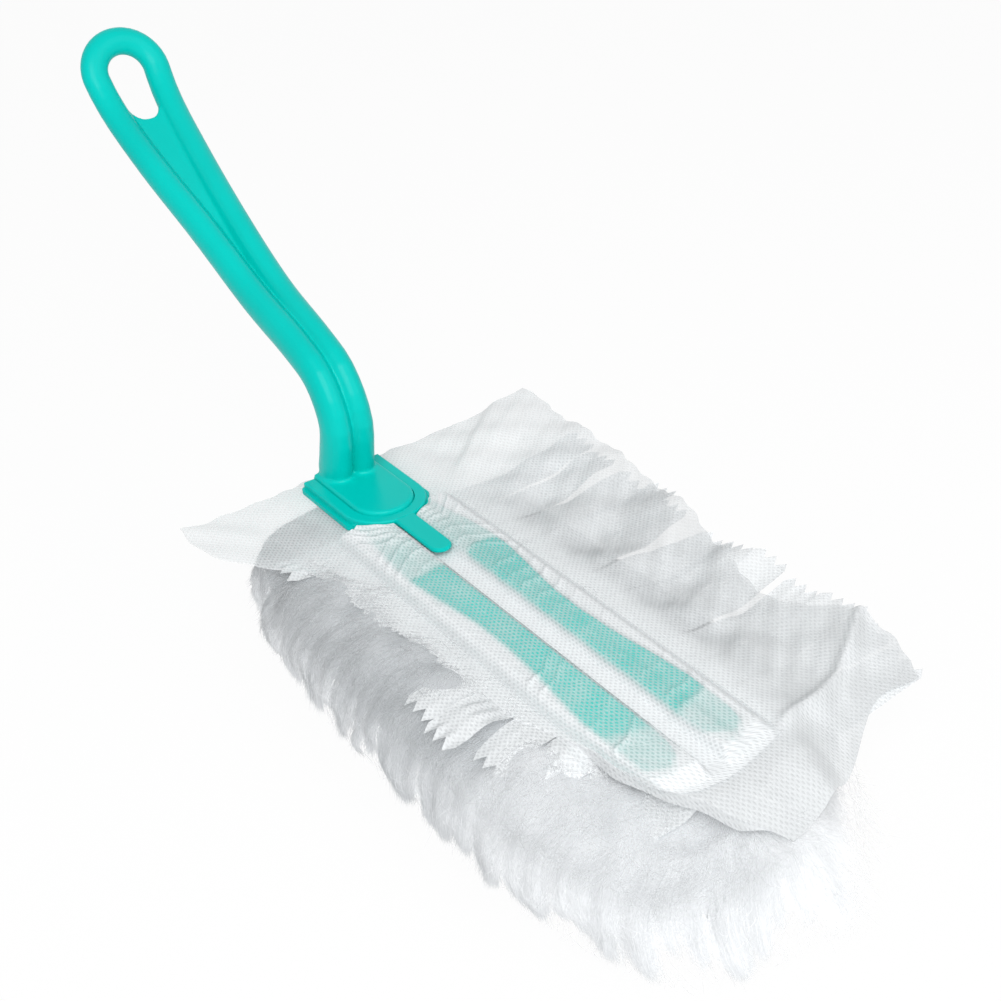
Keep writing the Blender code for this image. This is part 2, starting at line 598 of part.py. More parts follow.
def make_strip_sheet(material):
    """The layer under the base sheet, cut into strips along both sides, each with a pinked end."""
    bm = bmesh.new()
    cache = {}

    def vert(x, y):
        key = (round(x, 7), round(y, 7))
        if key not in cache:
            cache[key] = bm.verts.new((x, y, float(strip_height(x, y))))
        return cache[key]

    pitch = STRIP_SHEET_LENGTH / STRIP_COUNT
    start = -STRIP_SHEET_LENGTH / 2
    root_rows = np.linspace(-STRIP_ROOT_HALF_WIDTH, STRIP_ROOT_HALF_WIDTH, 5)
    for index in range(STRIP_COUNT):
        left = start + index * pitch
        columns = [left] + list(np.linspace(left + STRIP_SLIT_WIDTH, left + pitch, STRIP_TEETH + 1))
        for first, second in zip(columns, columns[1:]):
            for low, high in zip(root_rows, root_rows[1:]):
                bm.faces.new((vert(first, low), vert(second, low), vert(second, high), vert(first, high)))
        for side, full in ((-1, STRIP_LEFT_LENGTH), (1, STRIP_RIGHT_LENGTH)):
            reach = full - STRIP_TOOTH_LENGTH * (1 + math.sin(index * math.e + side))
            rows = np.linspace(STRIP_ROOT_HALF_WIDTH, reach, 7) * side
            for first, second in zip(columns[1:], columns[2:]):
                for low, high in zip(rows, rows[1:]):
                    bm.faces.new((vert(first, low), vert(second, low), vert(second, high), vert(first, high)))
                tip = (reach + STRIP_TOOTH_LENGTH) * side
                bm.faces.new((vert(first, rows[-1]), vert(second, rows[-1]), vert((first + second) / 2, tip)))
    obj = add_object("strip_sheet", bm, material)
    thicken(obj)
    return obj


def layer_height(index, share):
    """Height of a fibre layer's upper face at some share of the way out; one past the last is the floor."""
    if index == len(LAYER_DEPTH_SHARES):
        return FLOOR_CURL_HEIGHT * (share / LAYER_EDGE_SHARES[index]) ** FLOOR_CURL_POWER - FLAT_CUT_DEPTH
    depth = (FLUFF_TOP_Z + FLAT_CUT_DEPTH) * LAYER_DEPTH_SHARES[index]
    return FLUFF_TOP_Z - depth - LAYER_DROOP_SHARES[index] * fluff_droop(share)


def fluff_profile(layer, steps):
    """Outline of one fibre layer as (share out, height) from its middle, over its edge and back."""
    gap = CLEARANCE if layer + 1 < len(LAYER_DEPTH_SHARES) else 0.0
    top_shares = np.linspace(0.0, LAYER_EDGE_SHARES[layer], steps)
    bottom_shares = np.linspace(LAYER_EDGE_SHARES[layer + 1], 0.0, steps)
    top = [(share, float(layer_height(layer, share))) for share in top_shares]
    bottom = [(share, float(layer_height(layer + 1, share)) + gap) for share in bottom_shares]
    upper = np.array(top[-1])
    lower = np.array(bottom[0])
    edge = []
    for share in np.linspace(0.0, 1.0, 5)[1:-1]:
        point = upper + (lower - upper) * share
        point[0] += EDGE_BULGE_SHARE * math.sin(math.pi * share)
        edge.append(tuple(point))
    return top[0][1], top[1:] + edge + bottom[:-1], bottom[-1][1]


def make_fibre_layer(layer, material):
    """One layer of the tow, a closed tufted pad whose edge droops; the lowest is cut flat below."""
    centre_top, profile, centre_bottom = fluff_profile(layer, 6)
    angles = np.linspace(0.0, 2 * math.pi, FLUFF_SECTORS, endpoint=False)
    power = 2.0 / FLUFF_SHAPE_POWER
    unit_x = np.sign(np.cos(angles)) * np.abs(np.cos(angles)) ** power
    unit_y = np.sign(np.sin(angles)) * np.abs(np.sin(angles)) ** power
    bm = bmesh.new()
    rings = []
    for share, height in profile:
        amount = TUFT_SHARE * float(smooth_step(share, TUFT_START_SHARE, 1.0))
        slant = height / TUFT_SLANT_HEIGHT * 2 * math.pi
        lump = (np.sin(TUFT_COUNT * angles + slant) + np.sin(FINE_TUFT_COUNT * angles - slant)) / 2
        radius = share * (1.0 + amount * lump)
        x = FLUFF_CENTRE_X + FLUFF_LENGTH / 2 * radius * unit_x
        y = FLUFF_WIDTH / 2 * radius * unit_y
        z = max(height, 0.0)
        rings.append([bm.verts.new((px, py, z)) for px, py in zip(x, y)])
    top = bm.verts.new((FLUFF_CENTRE_X, 0, centre_top))
    bottom = bm.verts.new((FLUFF_CENTRE_X, 0, max(centre_bottom, 0.0)))
    for index in range(FLUFF_SECTORS):
        following = (index + 1) % FLUFF_SECTORS
        bm.faces.new((top, rings[0][index], rings[0][following]))
        bm.faces.new((bottom, rings[-1][following], rings[-1][index]))
        for step, (first, second) in enumerate(zip(rings, rings[1:])):
            outward = profile[step + 1][0] >= profile[step][0]
            inner, outer = (first, second) if outward else (second, first)
            bm.faces.new((inner[index], outer[index], outer[following]))
            bm.faces.new((inner[index], outer[following], inner[following]))
    return add_object(f"fibre_layer_{layer + 1}", bm, material)


def main():
    """Build every piece of the duster."""
    clear_scene()
    plastic = make_material("teal_plastic", TEAL, 0.35)
    fork_plastic = make_material("fork_plastic", TEAL, 0.38)
    cloth = make_material("holding_cloth", CLOTH_WHITE, 0.9)
    base_cloth = make_material("base_cloth", CLOTH_WHITE, 0.92)
    strip_cloth = make_material("strip_cloth", CLOTH_WHITE, 0.92)
    make_handle(plastic)
    make_fork(fork_plastic)
    make_holding_sheet(cloth)
    make_base_sheet(base_cloth)
    make_strip_sheet(strip_cloth)
    for layer in range(len(LAYER_DEPTH_SHARES)):
        make_fibre_layer(layer, make_material(f"fibre_{layer + 1}", FIBRE_WHITE, 0.95))


main()
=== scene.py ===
"""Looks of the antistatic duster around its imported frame: glossy teal plastic, thin nonwoven sheets and tow.

Metres, in the frame of the CAD model: +X from the handle to the tip of the refill, +Z up.
"""

import math

import bpy
import numpy as np
from mathutils import Matrix, Vector


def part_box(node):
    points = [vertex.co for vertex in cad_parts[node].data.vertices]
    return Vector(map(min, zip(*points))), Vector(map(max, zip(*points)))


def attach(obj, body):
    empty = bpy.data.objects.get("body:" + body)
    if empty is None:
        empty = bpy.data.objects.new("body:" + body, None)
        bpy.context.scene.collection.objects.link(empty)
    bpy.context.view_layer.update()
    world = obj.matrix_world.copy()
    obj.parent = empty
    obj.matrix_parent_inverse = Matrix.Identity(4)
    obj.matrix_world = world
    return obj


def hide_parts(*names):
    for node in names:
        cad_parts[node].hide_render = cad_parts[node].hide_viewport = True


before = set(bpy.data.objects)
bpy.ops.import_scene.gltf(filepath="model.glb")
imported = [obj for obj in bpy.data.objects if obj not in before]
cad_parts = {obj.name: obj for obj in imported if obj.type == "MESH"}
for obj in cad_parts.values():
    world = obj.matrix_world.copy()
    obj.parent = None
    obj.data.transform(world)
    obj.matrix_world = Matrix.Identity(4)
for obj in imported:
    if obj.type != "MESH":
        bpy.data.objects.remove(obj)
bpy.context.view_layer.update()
rng = np.random.default_rng(20)

# Camera, fitted to the collar and the pockets of the photographed duster.
CAMERA_AZIMUTH = 56.48
CAMERA_ELEVATION = 31.98
CAMERA_ROLL = -3.93
CAMERA_DISTANCE = 0.5366
CAMERA_RIGHT = 0.0401
CAMERA_UP = 0.0052
CAMERA_AIM = (-0.09, 0.0, 0.036)
CAMERA_LENS = 52.42
SENSOR_WIDTH = 36.0

# Stage: floor, surround, and lamps with their name, way in the camera's right, up and back, distance, size and
# power.
FLOOR_HALF = 6.0
FLOOR_DROP = 0.0002
FLOOR_SHADOW_SHARE = 0.06
AMBIENT_STRENGTH = 0.39
LAMP_TARGET = (-0.04, 0.0, 0.06)
LAMPS = (("key", (-0.05, 0.22, 0.98), 1.0, 0.7, 8.4), ("fill", (0.75, 0.45, 0.65), 1.2, 1.0, 3.8))

# Places of the frame that the new pieces follow.
PAD_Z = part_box("fork")[0].z
BASE_Z = PAD_Z - 0.0004
FORK_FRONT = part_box("fork")[1].x
POCKET_END_X = 0.09
COLLAR_MOUTH_X = -0.0868
POCKET_HALF_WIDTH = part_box("holding_sheet")[1].y

# Fork sizes that the pocket cloth lies over.
PLATE_FRONT_X = -0.0905
SOCKET_RADIUS = 0.0165
SOCKET_FRONT_X = -0.0797
PRONG_INNER = 0.0048
PRONG_REACH = 0.02
PRONG_WAIST_DEPTH = 0.0042
PRONG_THICKNESS = 0.0022
BEAD_WIDTH = 0.0042
BEAD_HEIGHT = 0.0008
PRONG_EDGE_SHARES = ((0.0, 0.06, 0.14, 0.22, 0.28, 0.36, 0.46, 0.55, 0.65, 0.75, 0.82, 0.88, 1.0),
                     (1.05, 0.9, 0.35, 0.02, 0.05, 0.45, 0.95, 1.0, 0.75, 0.25, 0.0, 0.06, 0.3))

# Fibre mass.
TOW_CENTRE_X = -0.005
TOW_FRONT = (-0.06, 0.07)
TOW_HALF_LENGTH = 0.122
TOW_HALF_WIDTH = 0.061
TOW_POWER = 3.6
TOW_TOP_Z = 0.0343
TOW_DROP = 0.01
TOW_SHOULDER_SHARE = 0.42
TOW_RIM_SHARE = 0.93
SPINE_SHARE = 0.78
TOW_FLOOR_Z = 0.0003
CORNER_HOLLOW = 0.024
STRANDS_A_PIECE = 8540
TOW_PIECES = 8
STRAND_RADIUS = 0.000085
STRAND_STEPS = 5
STRAND_TAPER = 0.6
FUZZ_SHARE = 0.38
ALL_SHARES = 0.99

# Welds of the pocket cloth, the bow of its far end, and how far it lies off the plastic.
POCKET_BOW = 0.005
POCKET_WELD = 0.0025
POCKET_TAPER = 0.0055
SEAM_HALF = 0.0026
SIDE_WELD = 0.0026
CLEARANCE = 0.0006

# Finishes.
EMBOSSING_PITCH = 0.0021
MOULDING_VOXEL = 0.0006
MOULDING_ROUNDS = 6

TEAL = (0.0, 0.575, 0.515)
CLOTH_WHITE = (0.82, 0.845, 0.86)
# The tow's colour runs from TOW_GREY to TOW_WHITE by a tone that is mostly painted light and shade.
TOW_WHITE = (0.935, 0.955, 0.975)
TOW_GREY = (0.455, 0.478, 0.495)


def smooth(value, low, high):
    """0 below low, 1 above high, and 3 t squared minus 2 t cubed between them."""
    t = np.clip((value - low) / (high - low), 0.0, 1.0)
    return t * t * (3.0 - 2.0 * t)


def fall(value, low, high):
    """1 below low and 0 above high: what smooth leaves."""
    return 1.0 - smooth(value, low, high)


def waves(value, lengths, seed, amplitude=1.0):
    """A smooth random curve: a sum of sines of the given wave lengths, each with its own phase."""
    local = np.random.default_rng(seed)
    total = np.zeros_like(np.asarray(value, dtype=float))
    for length in lengths:
        total = total + np.sin(value * 2 * math.pi / length + local.uniform(0, 2 * math.pi))
    return amplitude * total / len(lengths)


def link_object(name, data):
    """A new object of the scene, at the origin."""
    obj = bpy.data.objects.new(name, data)
    bpy.context.scene.collection.objects.link(obj)
    return obj


def make_mesh(name, points, faces, material):
    """An object at the origin from an array of points and a list of arrays of faces with equal corner counts."""
    mesh = bpy.data.meshes.new(name)
    mesh.vertices.add(len(points))
    mesh.vertices.foreach_set("co", np.asarray(points, dtype=np.float32).ravel())
    counts = np.concatenate([np.full(len(part), part.shape[1]) for part in faces])
    corners = np.concatenate([part.ravel() for part in faces]).astype(np.int32)
    starts = np.concatenate([[0], np.cumsum(counts)[:-1]]).astype(np.int32)
    mesh.loops.add(len(corners))
    mesh.loops.foreach_set("vertex_index", corners)
    mesh.polygons.add(len(starts))
    mesh.polygons.foreach_set("loop_start", starts)
    mesh.update(calc_edges=True)
    mesh.shade_smooth()
    mesh.materials.append(material)
    return link_object(name, mesh)


def as_points(x, y, z):
    """A list of points from arrays of their coordinates."""
    return np.stack([x, y, z], axis=-1).reshape(-1, 3)


def add_attributes(obj, **values):
    """One number per point under each name, for a material to read."""
    for name, numbers in values.items():
        attribute = obj.data.attributes.new(name, "FLOAT", "POINT")
        attribute.data.foreach_set("value", np.asarray(numbers, dtype=np.float32).ravel())


def unit(vectors):
    """The vectors at length 1."""
    return vectors / (np.linalg.norm(vectors, axis=-1, keepdims=True) + 1e-12)


def set_normals(obj, normals):
    """Shading normals of the points."""
    obj.data.normals_split_custom_set_from_vertices(unit(normals).reshape(-1, 3).astype(np.float32))


def run_length(across, along):
    """Length run along each row of points, from 0 at its first point."""
    steps = np.hypot(np.diff(across), np.diff(along))
    return np.concatenate([np.zeros_like(across[..., :1]), np.cumsum(steps, axis=-1)], axis=-1)


def grid_faces(rows, columns, closed=False):
    """Quads of a grid of rows by columns of points; closed joins the last column to the first."""
    index = np.arange(rows * columns).reshape(rows, columns)
    if closed:
        index = np.hstack([index, index[:, :1]])
    return np.stack([index[:-1, :-1], index[:-1, 1:], index[1:, 1:], index[1:, :-1]], axis=-1).reshape(-1, 4)


def add_flat_map(obj, u, v):
    """A UV map in metres on the cloth as it was cut."""
    layer = obj.data.uv_layers.new(name="flat")
    corners = np.zeros(len(obj.data.loops), dtype=np.int32)
    obj.data.loops.foreach_get("vertex_index", corners)
    pairs = np.column_stack([np.ravel(u)[corners], np.ravel(v)[corners]]).astype(np.float32)
    layer.data.foreach_set("uv", pairs.ravel())


# Node helpers and shared effects.

class Value:
    """A value in a node tree that is written in plain arithmetic: each sign places a Math node."""

    def __init__(self, tree, socket):
        self.tree, self.socket = tree, socket

    def to(self, socket):
        self.tree.links.new(self.socket, socket)

    def __add__(self, other):
        return maths("ADD", self, other)

    def __sub__(self, other):
        return maths("SUBTRACT", self, other)

    def __rsub__(self, other):
        return maths("SUBTRACT", other, self)

    def __mul__(self, other):
        return maths("MULTIPLY", self, other)

    def __truediv__(self, other):
        return maths("DIVIDE", self, other)


def add_node(tree, kind, output, inputs, **settings):
    """A node with its settings and its inputs, which are numbers, vectors or values; gives one of its outputs."""
    node = tree.nodes.new("ShaderNode" + kind)
    for name, value in settings.items():
        setattr(node, name, value)
    for name, value in inputs.items():
        if isinstance(value, Value):
            value.to(node.inputs[name])
        else:
            node.inputs[name].default_value = value
    return Value(tree, node.outputs[output])


def maths(operation, *values, clamp=False):
    """A Math node of numbers and values."""
    tree = next(value.tree for value in values if isinstance(value, Value))
    return add_node(tree, "Math", 0, dict(enumerate(values)), operation=operation, use_clamp=clamp)


def noise(vector, scale, detail=2.0, roughness=0.5):
    """A Noise texture's value."""
    return add_node(vector.tree, "TexNoise", "Fac",
                    {"Vector": vector, "Scale": scale, "Detail": detail, "Roughness": roughness})


def ramp(value, low, high, to_low=0.0, to_high=1.0):
    """A smooth Map Range node."""
    return add_node(value.tree, "MapRange", "Result",
                    {"Value": value, "From Min": low, "From Max": high, "To Min": to_low, "To Max": to_high},
                    interpolation_type="SMOOTHSTEP")


def scaled(vector, *scale):
    """The vector times a scale on each axis."""
    return add_node(vector.tree, "VectorMath", 0, {0: vector, 1: scale}, operation="MULTIPLY")


def darker(colour, share):
    """The colour times a share."""
    return tuple(channel * share for channel in colour)


def mix_colours(factor, first, second):
    """A mix of two colours, each a tuple or a value."""
    first, second = ((*colour, 1.0) if isinstance(colour, tuple) else colour for colour in (first, second))
    return add_node(factor.tree, "Mix", "Result", {"Factor": factor, "A": first, "B": second}, data_type="RGBA")


def coordinates(tree):
    """Object coordinates in metres."""
    return add_node(tree, "TexCoord", "Object", {})


def flat_map(tree):
    """The cloth's own flat coordinates."""
    return add_node(tree, "UVMap", "UV", {}, uv_map="flat")


def attribute(tree, name):
    """A value stored on the points of a piece."""
    return add_node(tree, "Attribute", "Fac", {}, attribute_name=name)


def bump(shader, height, distance, strength):
    """Feed a height to the shader's normal."""
    node = add_node(height.tree, "Bump", "Normal", {"Height": height, "Distance": distance, "Strength": strength})
    node.to(shader.inputs["Normal"])


def new_group(name, outputs, **inputs):
    """An empty node group that takes a vector and named numbers; gives the group, its inputs and its outputs."""
    group = bpy.data.node_groups.new(name, "ShaderNodeTree")
    group.interface.new_socket("Vector", in_out="INPUT", socket_type="NodeSocketVector")
    for socket, number in inputs.items():
        group.interface.new_socket(socket, in_out="INPUT", socket_type="NodeSocketFloat").default_value = number
    for socket in outputs:
        group.interface.new_socket(socket, in_out="OUTPUT", socket_type="NodeSocketFloat")
    source = group.nodes.new("NodeGroupInput")
    sink = group.nodes.new("NodeGroupOutput")
    return group, {socket.name: Value(group, socket) for socket in source.outputs}, sink.inputs


def place_group(tree, group, **inputs):
    """A group placed in a material with its own values; gives its outputs by name."""
    node = add_node(tree, "Group", 0, inputs, node_tree=group).socket.node
    return {socket.name: Value(tree, socket) for socket in node.outputs}


def build_lattice_group():
    """Embossed lattice: rows of dots on a diagonal lattice, each a soft ellipse, on flat coordinates in metres."""
    group, given, sink = new_group("embossed_lattice", ("Dot",), Pitch=EMBOSSING_PITCH)
    vector, pitch = given["Vector"], given["Pitch"]
    shift = (noise(vector, 140.0, 1.0) - 0.5) * 0.0008
    u = add_node(group, "SeparateXYZ", "X", {0: vector}) + shift
    v = add_node(group, "SeparateXYZ", "Y", {0: vector}) - shift
    a = maths("FRACT", (u + v) / pitch) - 0.5
    b = maths("FRACT", (u - v) / pitch) - 0.5
    along, across = (a + b) * 0.62, (a - b) * 1.05
    ramp(maths("SQRT", along * along + across * across), 0.18, 0.45, 1.0, 0.0).to(sink["Dot"])
    return group


def build_web_group():
    """Nonwoven web: long fine fibres laid two ways plus cloudy thick and thin places, on flat coordinates."""
    group, given, sink = new_group("nonwoven_web", ("Fibre", "Cloud"))
    vector = given["Vector"]
    first = noise(scaled(vector, 260.0, 2600.0, 1.0), 1.0, 3.0, 0.6)
    second = noise(scaled(vector, 2200.0, 420.0, 1.0), 1.0, 3.0, 0.6)
    maths("MAXIMUM", ramp(first, 0.45, 0.72), ramp(second, 0.5, 0.75)).to(sink["Fibre"])
    noise(vector, 90.0, 4.0, 0.55).to(sink["Cloud"])
    return group


def build_moulding_group():
    """Moulded surface: faint waviness of the tool and fine gloss variation, on object coordinates."""
    group, given, sink = new_group("moulded_surface", ("Roughness", "Height"), Gloss=0.3, Spread=0.08)
    broad = noise(given["Vector"], 45.0)
    (given["Gloss"] + (broad - 0.5) * given["Spread"]).to(sink["Roughness"])
    (broad + noise(given["Vector"], 900.0) * 0.06).to(sink["Height"])
    return group


def build_combed_group():
    """Combed fibre: fine streaks that run outward, broken into locks, on the tow's own map in metres."""
    group, given, sink = new_group("combed_fibre", ("Streak", "Lock"))
    noise(scaled(given["Vector"], 2400.0, 130.0, 1.0), 1.0, 3.0, 0.65).to(sink["Streak"])
    noise(scaled(given["Vector"], 300.0, 55.0, 1.0), 1.0, 2.0).to(sink["Lock"])
    return group


LATTICE = build_lattice_group()
WEB = build_web_group()
MOULDING = build_moulding_group()
COMBED = build_combed_group()


def new_material(name, roughness, specular):
    """A material with its node tree and its Principled shader."""
    material = bpy.data.materials.new(name)
    material.use_nodes = True
    shader = material.node_tree.nodes["Principled BSDF"]
    shader.inputs["Roughness"].default_value = roughness
    shader.inputs["Specular IOR Level"].default_value = specular
    return material, material.node_tree, shader


def plastic_material(name, colour, gloss):
    """Teal moulded plastic: even colour, soft gloss that varies a little, and faint waviness."""
    material, tree, shader = new_material(name, gloss, 0.11)
    vector = coordinates(tree)
    surface = place_group(tree, MOULDING, Vector=vector, Gloss=gloss, Spread=0.07)
    cloud = ramp(noise(vector, 18.0), 0.35, 0.65)
    mix_colours(cloud, darker(colour, 0.93), colour).to(shader.inputs["Base Color"])
    surface["Roughness"].to(shader.inputs["Roughness"])
    bump(shader, surface["Height"], 0.00012, 0.5)
    shader.inputs["IOR"].default_value = 1.49
    return material


def cloth_material(name, cover, dot_depth):
    """Nonwoven cloth: a white web that is clearer in its embossed dots and where the attribute thin says, more
    opaque where solid says, and greyer as painted shade where its painted-shade attribute says. It lets part of the
    light through."""
    material, tree, shader = new_material(name, 0.85, 0.25)
    flat = flat_map(tree)
    dot = place_group(tree, LATTICE, Vector=flat, Pitch=EMBOSSING_PITCH)["Dot"]
    web = place_group(tree, WEB, Vector=flat)
    thin = attribute(tree, "thin")
    base = (web["Cloud"] - 0.5) * 0.3 + web["Fibre"] * 0.12 + cover
    base = base - dot * ((thin * 0.4 + 0.3) * dot_depth) - thin * (thin * 0.33 + 0.1)
    alpha = maths("ADD", base, attribute(tree, "solid"), clamp=True)
    shadow_ray = add_node(tree, "LightPath", "Is Shadow Ray", {})
    (alpha * (1 - shadow_ray * 0.4)).to(shader.inputs["Alpha"])
    colour = mix_colours(dot, CLOTH_WHITE, darker(CLOTH_WHITE, 0.95))
    # Painted shade: the white turns greyer where the points' painted-shade attribute says.
    mix_colours(attribute(tree, "dull"), colour, darker(CLOTH_WHITE, 0.8)).to(shader.inputs["Base Color"])
    bump(shader, dot * -1.0 + web["Fibre"] * 0.35, 0.00025, 0.6)
    return material


def tow_mass_material(name):
    """The mass of the tow: combed streaks, locks and clouds over the tone that its points hold, which is mostly
    painted light and shade.
    """
    material, tree, shader = new_material(name, 0.9, 0.1)
    streaks = place_group(tree, COMBED, Vector=flat_map(tree))
    both = streaks["Streak"] + streaks["Lock"]
    bump(shader, both, 0.0002, 0.25)
    cloud = noise(coordinates(tree), 75.0, 5.0, 0.6) - 0.5
    shade = maths("ADD", (both - 1.0) * 0.12 + cloud * 0.5, attribute(tree, "shade"), clamp=True)
    mix_colours(shade, TOW_GREY, TOW_WHITE).to(shader.inputs["Base Color"])
    return material


def tow_strand_material(name):
    """Fine fibre: part clear, since each strand stands for a few hairs. The camera sees a strand's outer faces, and
    all other light passes it nearly unhindered."""
    material, tree, shader = new_material(name, 0.9, 0.1)
    # Colour by the points' tone, which is mostly painted light and shade.
    mix_colours(attribute(tree, "shade"), TOW_GREY, TOW_WHITE).to(shader.inputs["Base Color"])
    outside = 1 - add_node(tree, "NewGeometry", "Backfacing", {})
    seen = add_node(tree, "LightPath", "Is Camera Ray", {}) * outside * (attribute(tree, "veil") * 0.75)
    (seen + 0.02).to(shader.inputs["Alpha"])
    return material


# Stage.

def add_camera():
    """The photograph's camera: azimuth, elevation and roll about its aim, then shifted right and up."""
    azimuth, elevation, roll = (math.radians(a) for a in (CAMERA_AZIMUTH, CAMERA_ELEVATION, CAMERA_ROLL))
    back = Vector((math.sin(azimuth) * math.cos(elevation), -math.cos(azimuth) * math.cos(elevation),
                   math.sin(elevation)))
    level = Vector((math.cos(azimuth), math.sin(azimuth), 0.0))
    upright = back.cross(level)
    right = math.cos(roll) * level + math.sin(roll) * upright
    up = -math.sin(roll) * level + math.cos(roll) * upright
    place = Vector(CAMERA_AIM) + back * CAMERA_DISTANCE + right * CAMERA_RIGHT + up * CAMERA_UP
    data = bpy.data.cameras.new("camera")
    data.lens = CAMERA_LENS
    data.sensor_width = SENSOR_WIDTH
    data.sensor_fit = "HORIZONTAL"
    data.clip_start = 0.01
    camera = link_object("camera", data)
    camera.matrix_world = Matrix.Translation(place) @ Matrix((right, up, back)).transposed().to_4x4()
    bpy.context.scene.camera = camera
    return right, up, back


def seen_rays(tree):
    """1 for rays that the eye, a gloss or a glass sends, and 0 for all others."""
    camera, clear, gloss = (add_node(tree, "LightPath", f"Is {kind} Ray", {})
                            for kind in ("Camera", "Transmission", "Glossy"))
    return maths("MAXIMUM", maths("MAXIMUM", camera, clear), gloss)


def add_stage(right, up, back):
    """A plain white floor, a white surround and soft lamps: a broad key behind the camera and a fill from its
    right."""
    corners = np.array([(-1, -1, 0), (1, -1, 0), (1, 1, 0), (-1, 1, 0)]) * FLOOR_HALF - (0, 0, FLOOR_DROP)
    material, tree, shader = new_material("floor_white", 0.9, 0.0)
    shader.inputs["Base Color"].default_value = (0.9, 0.9, 0.9, 1.0)
    white = add_node(tree, "Emission", 0, {"Strength": 1.0})
    mix = add_node(tree, "MixShader", 0, {0: seen_rays(tree) * (1 - FLOOR_SHADOW_SHARE),
                                          1: Value(tree, shader.outputs[0]), 2: white})
    mix.to(tree.nodes["Material Output"].inputs["Surface"])
    make_mesh("floor", corners, [np.array([[0, 1, 2, 3]])], material)

    world = bpy.data.worlds.new("studio")
    bpy.context.scene.world = world
    world.use_nodes = True
    background = world.node_tree.nodes["Background"]
    background.inputs["Color"].default_value = (1.0, 1.0, 1.0, 1.0)
    ramp(seen_rays(world.node_tree), 0.0, 1.0, AMBIENT_STRENGTH, 1.0).to(background.inputs["Strength"])

    target = Vector(LAMP_TARGET)
    for name, ways, distance, size, power in LAMPS:
        way = (right * ways[0] + up * ways[1] + back * ways[2]) * distance
        data = bpy.data.lights.new(name, "AREA")
        data.size = size
        data.energy = power
        lamp = link_object(name, data)
        lamp.matrix_world = Matrix.Translation(target + way) @ way.to_track_quat("Z", "Y").to_matrix().to_4x4()


# Handle and fork.

def moulded_copy(node, name):
    """The CAD solid with its edges and inner corners softened as moulded plastic: remeshed, then relaxed."""
    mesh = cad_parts[node].data.copy()
    mesh.materials.clear()
    obj = link_object(name, mesh)
    obj.modifiers.new("Weld", "WELD").merge_threshold = 0.000002
    remesh = obj.modifiers.new("Remesh", "REMESH")
    remesh.mode = "VOXEL"
    remesh.voxel_size = MOULDING_VOXEL
    relax = obj.modifiers.new("Relax", "SMOOTH")
    relax.factor = 0.5
    relax.iterations = MOULDING_ROUNDS
    final = bpy.data.meshes.new_from_object(obj.evaluated_get(bpy.context.evaluated_depsgraph_get()))
    final.name = name
    obj.modifiers.clear()
    obj.data = final
    final.shade_smooth()
    return obj


# Cloth.

# The prong's outer edge near its tip, and the pocket's drawn-in left edge: stations and distances from the middle.
BLADE_EDGE = ((0.0, 0.06, 0.07, 0.075, 0.079, 0.0815, 0.083, 0.0905),
              (0.0206, 0.0206, 0.0205, 0.0201, 0.0186, 0.0166, 0.013, 0.01))
POCKET_LEFT_EDGE = ((0.03, 0.044, 0.0586, 0.07, 0.078, 0.083, 0.087, 0.0905),
                    (POCKET_HALF_WIDTH, 0.0256, 0.0232, 0.0222, 0.0206, 0.0182, 0.0158, 0.014))


def prong_outer(x):
    """How far the outer edge of a prong stands from the middle at some station."""
    share = (x - PLATE_FRONT_X) / (FORK_FRONT - PLATE_FRONT_X)
    return PRONG_REACH - PRONG_WAIST_DEPTH * np.interp(share, *PRONG_EDGE_SHARES)


def tunnel_height(y):
    """Height of the pocket cloth over the pad across the pockets, from the middle seam to the side seam."""
    y = np.abs(y)
    bead = BEAD_HEIGHT * fall(y, PRONG_INNER + BEAD_WIDTH, PRONG_INNER + 2 * BEAD_WIDTH)
    rise = smooth(y, SEAM_HALF, PRONG_INNER + BEAD_WIDTH / 8)
    return (PRONG_THICKNESS + CLEARANCE + bead) * rise * fall(y, PRONG_REACH + 0.0003, POCKET_HALF_WIDTH - 0.0006)


def ridges(value, places, width):
    """Narrow rounded ridges at the given places: the sum of 1 over 1 plus the squared distance in widths."""
    return sum(height / (1.0 + ((value - place) / width) ** 2) ** 2 for place, height in places)


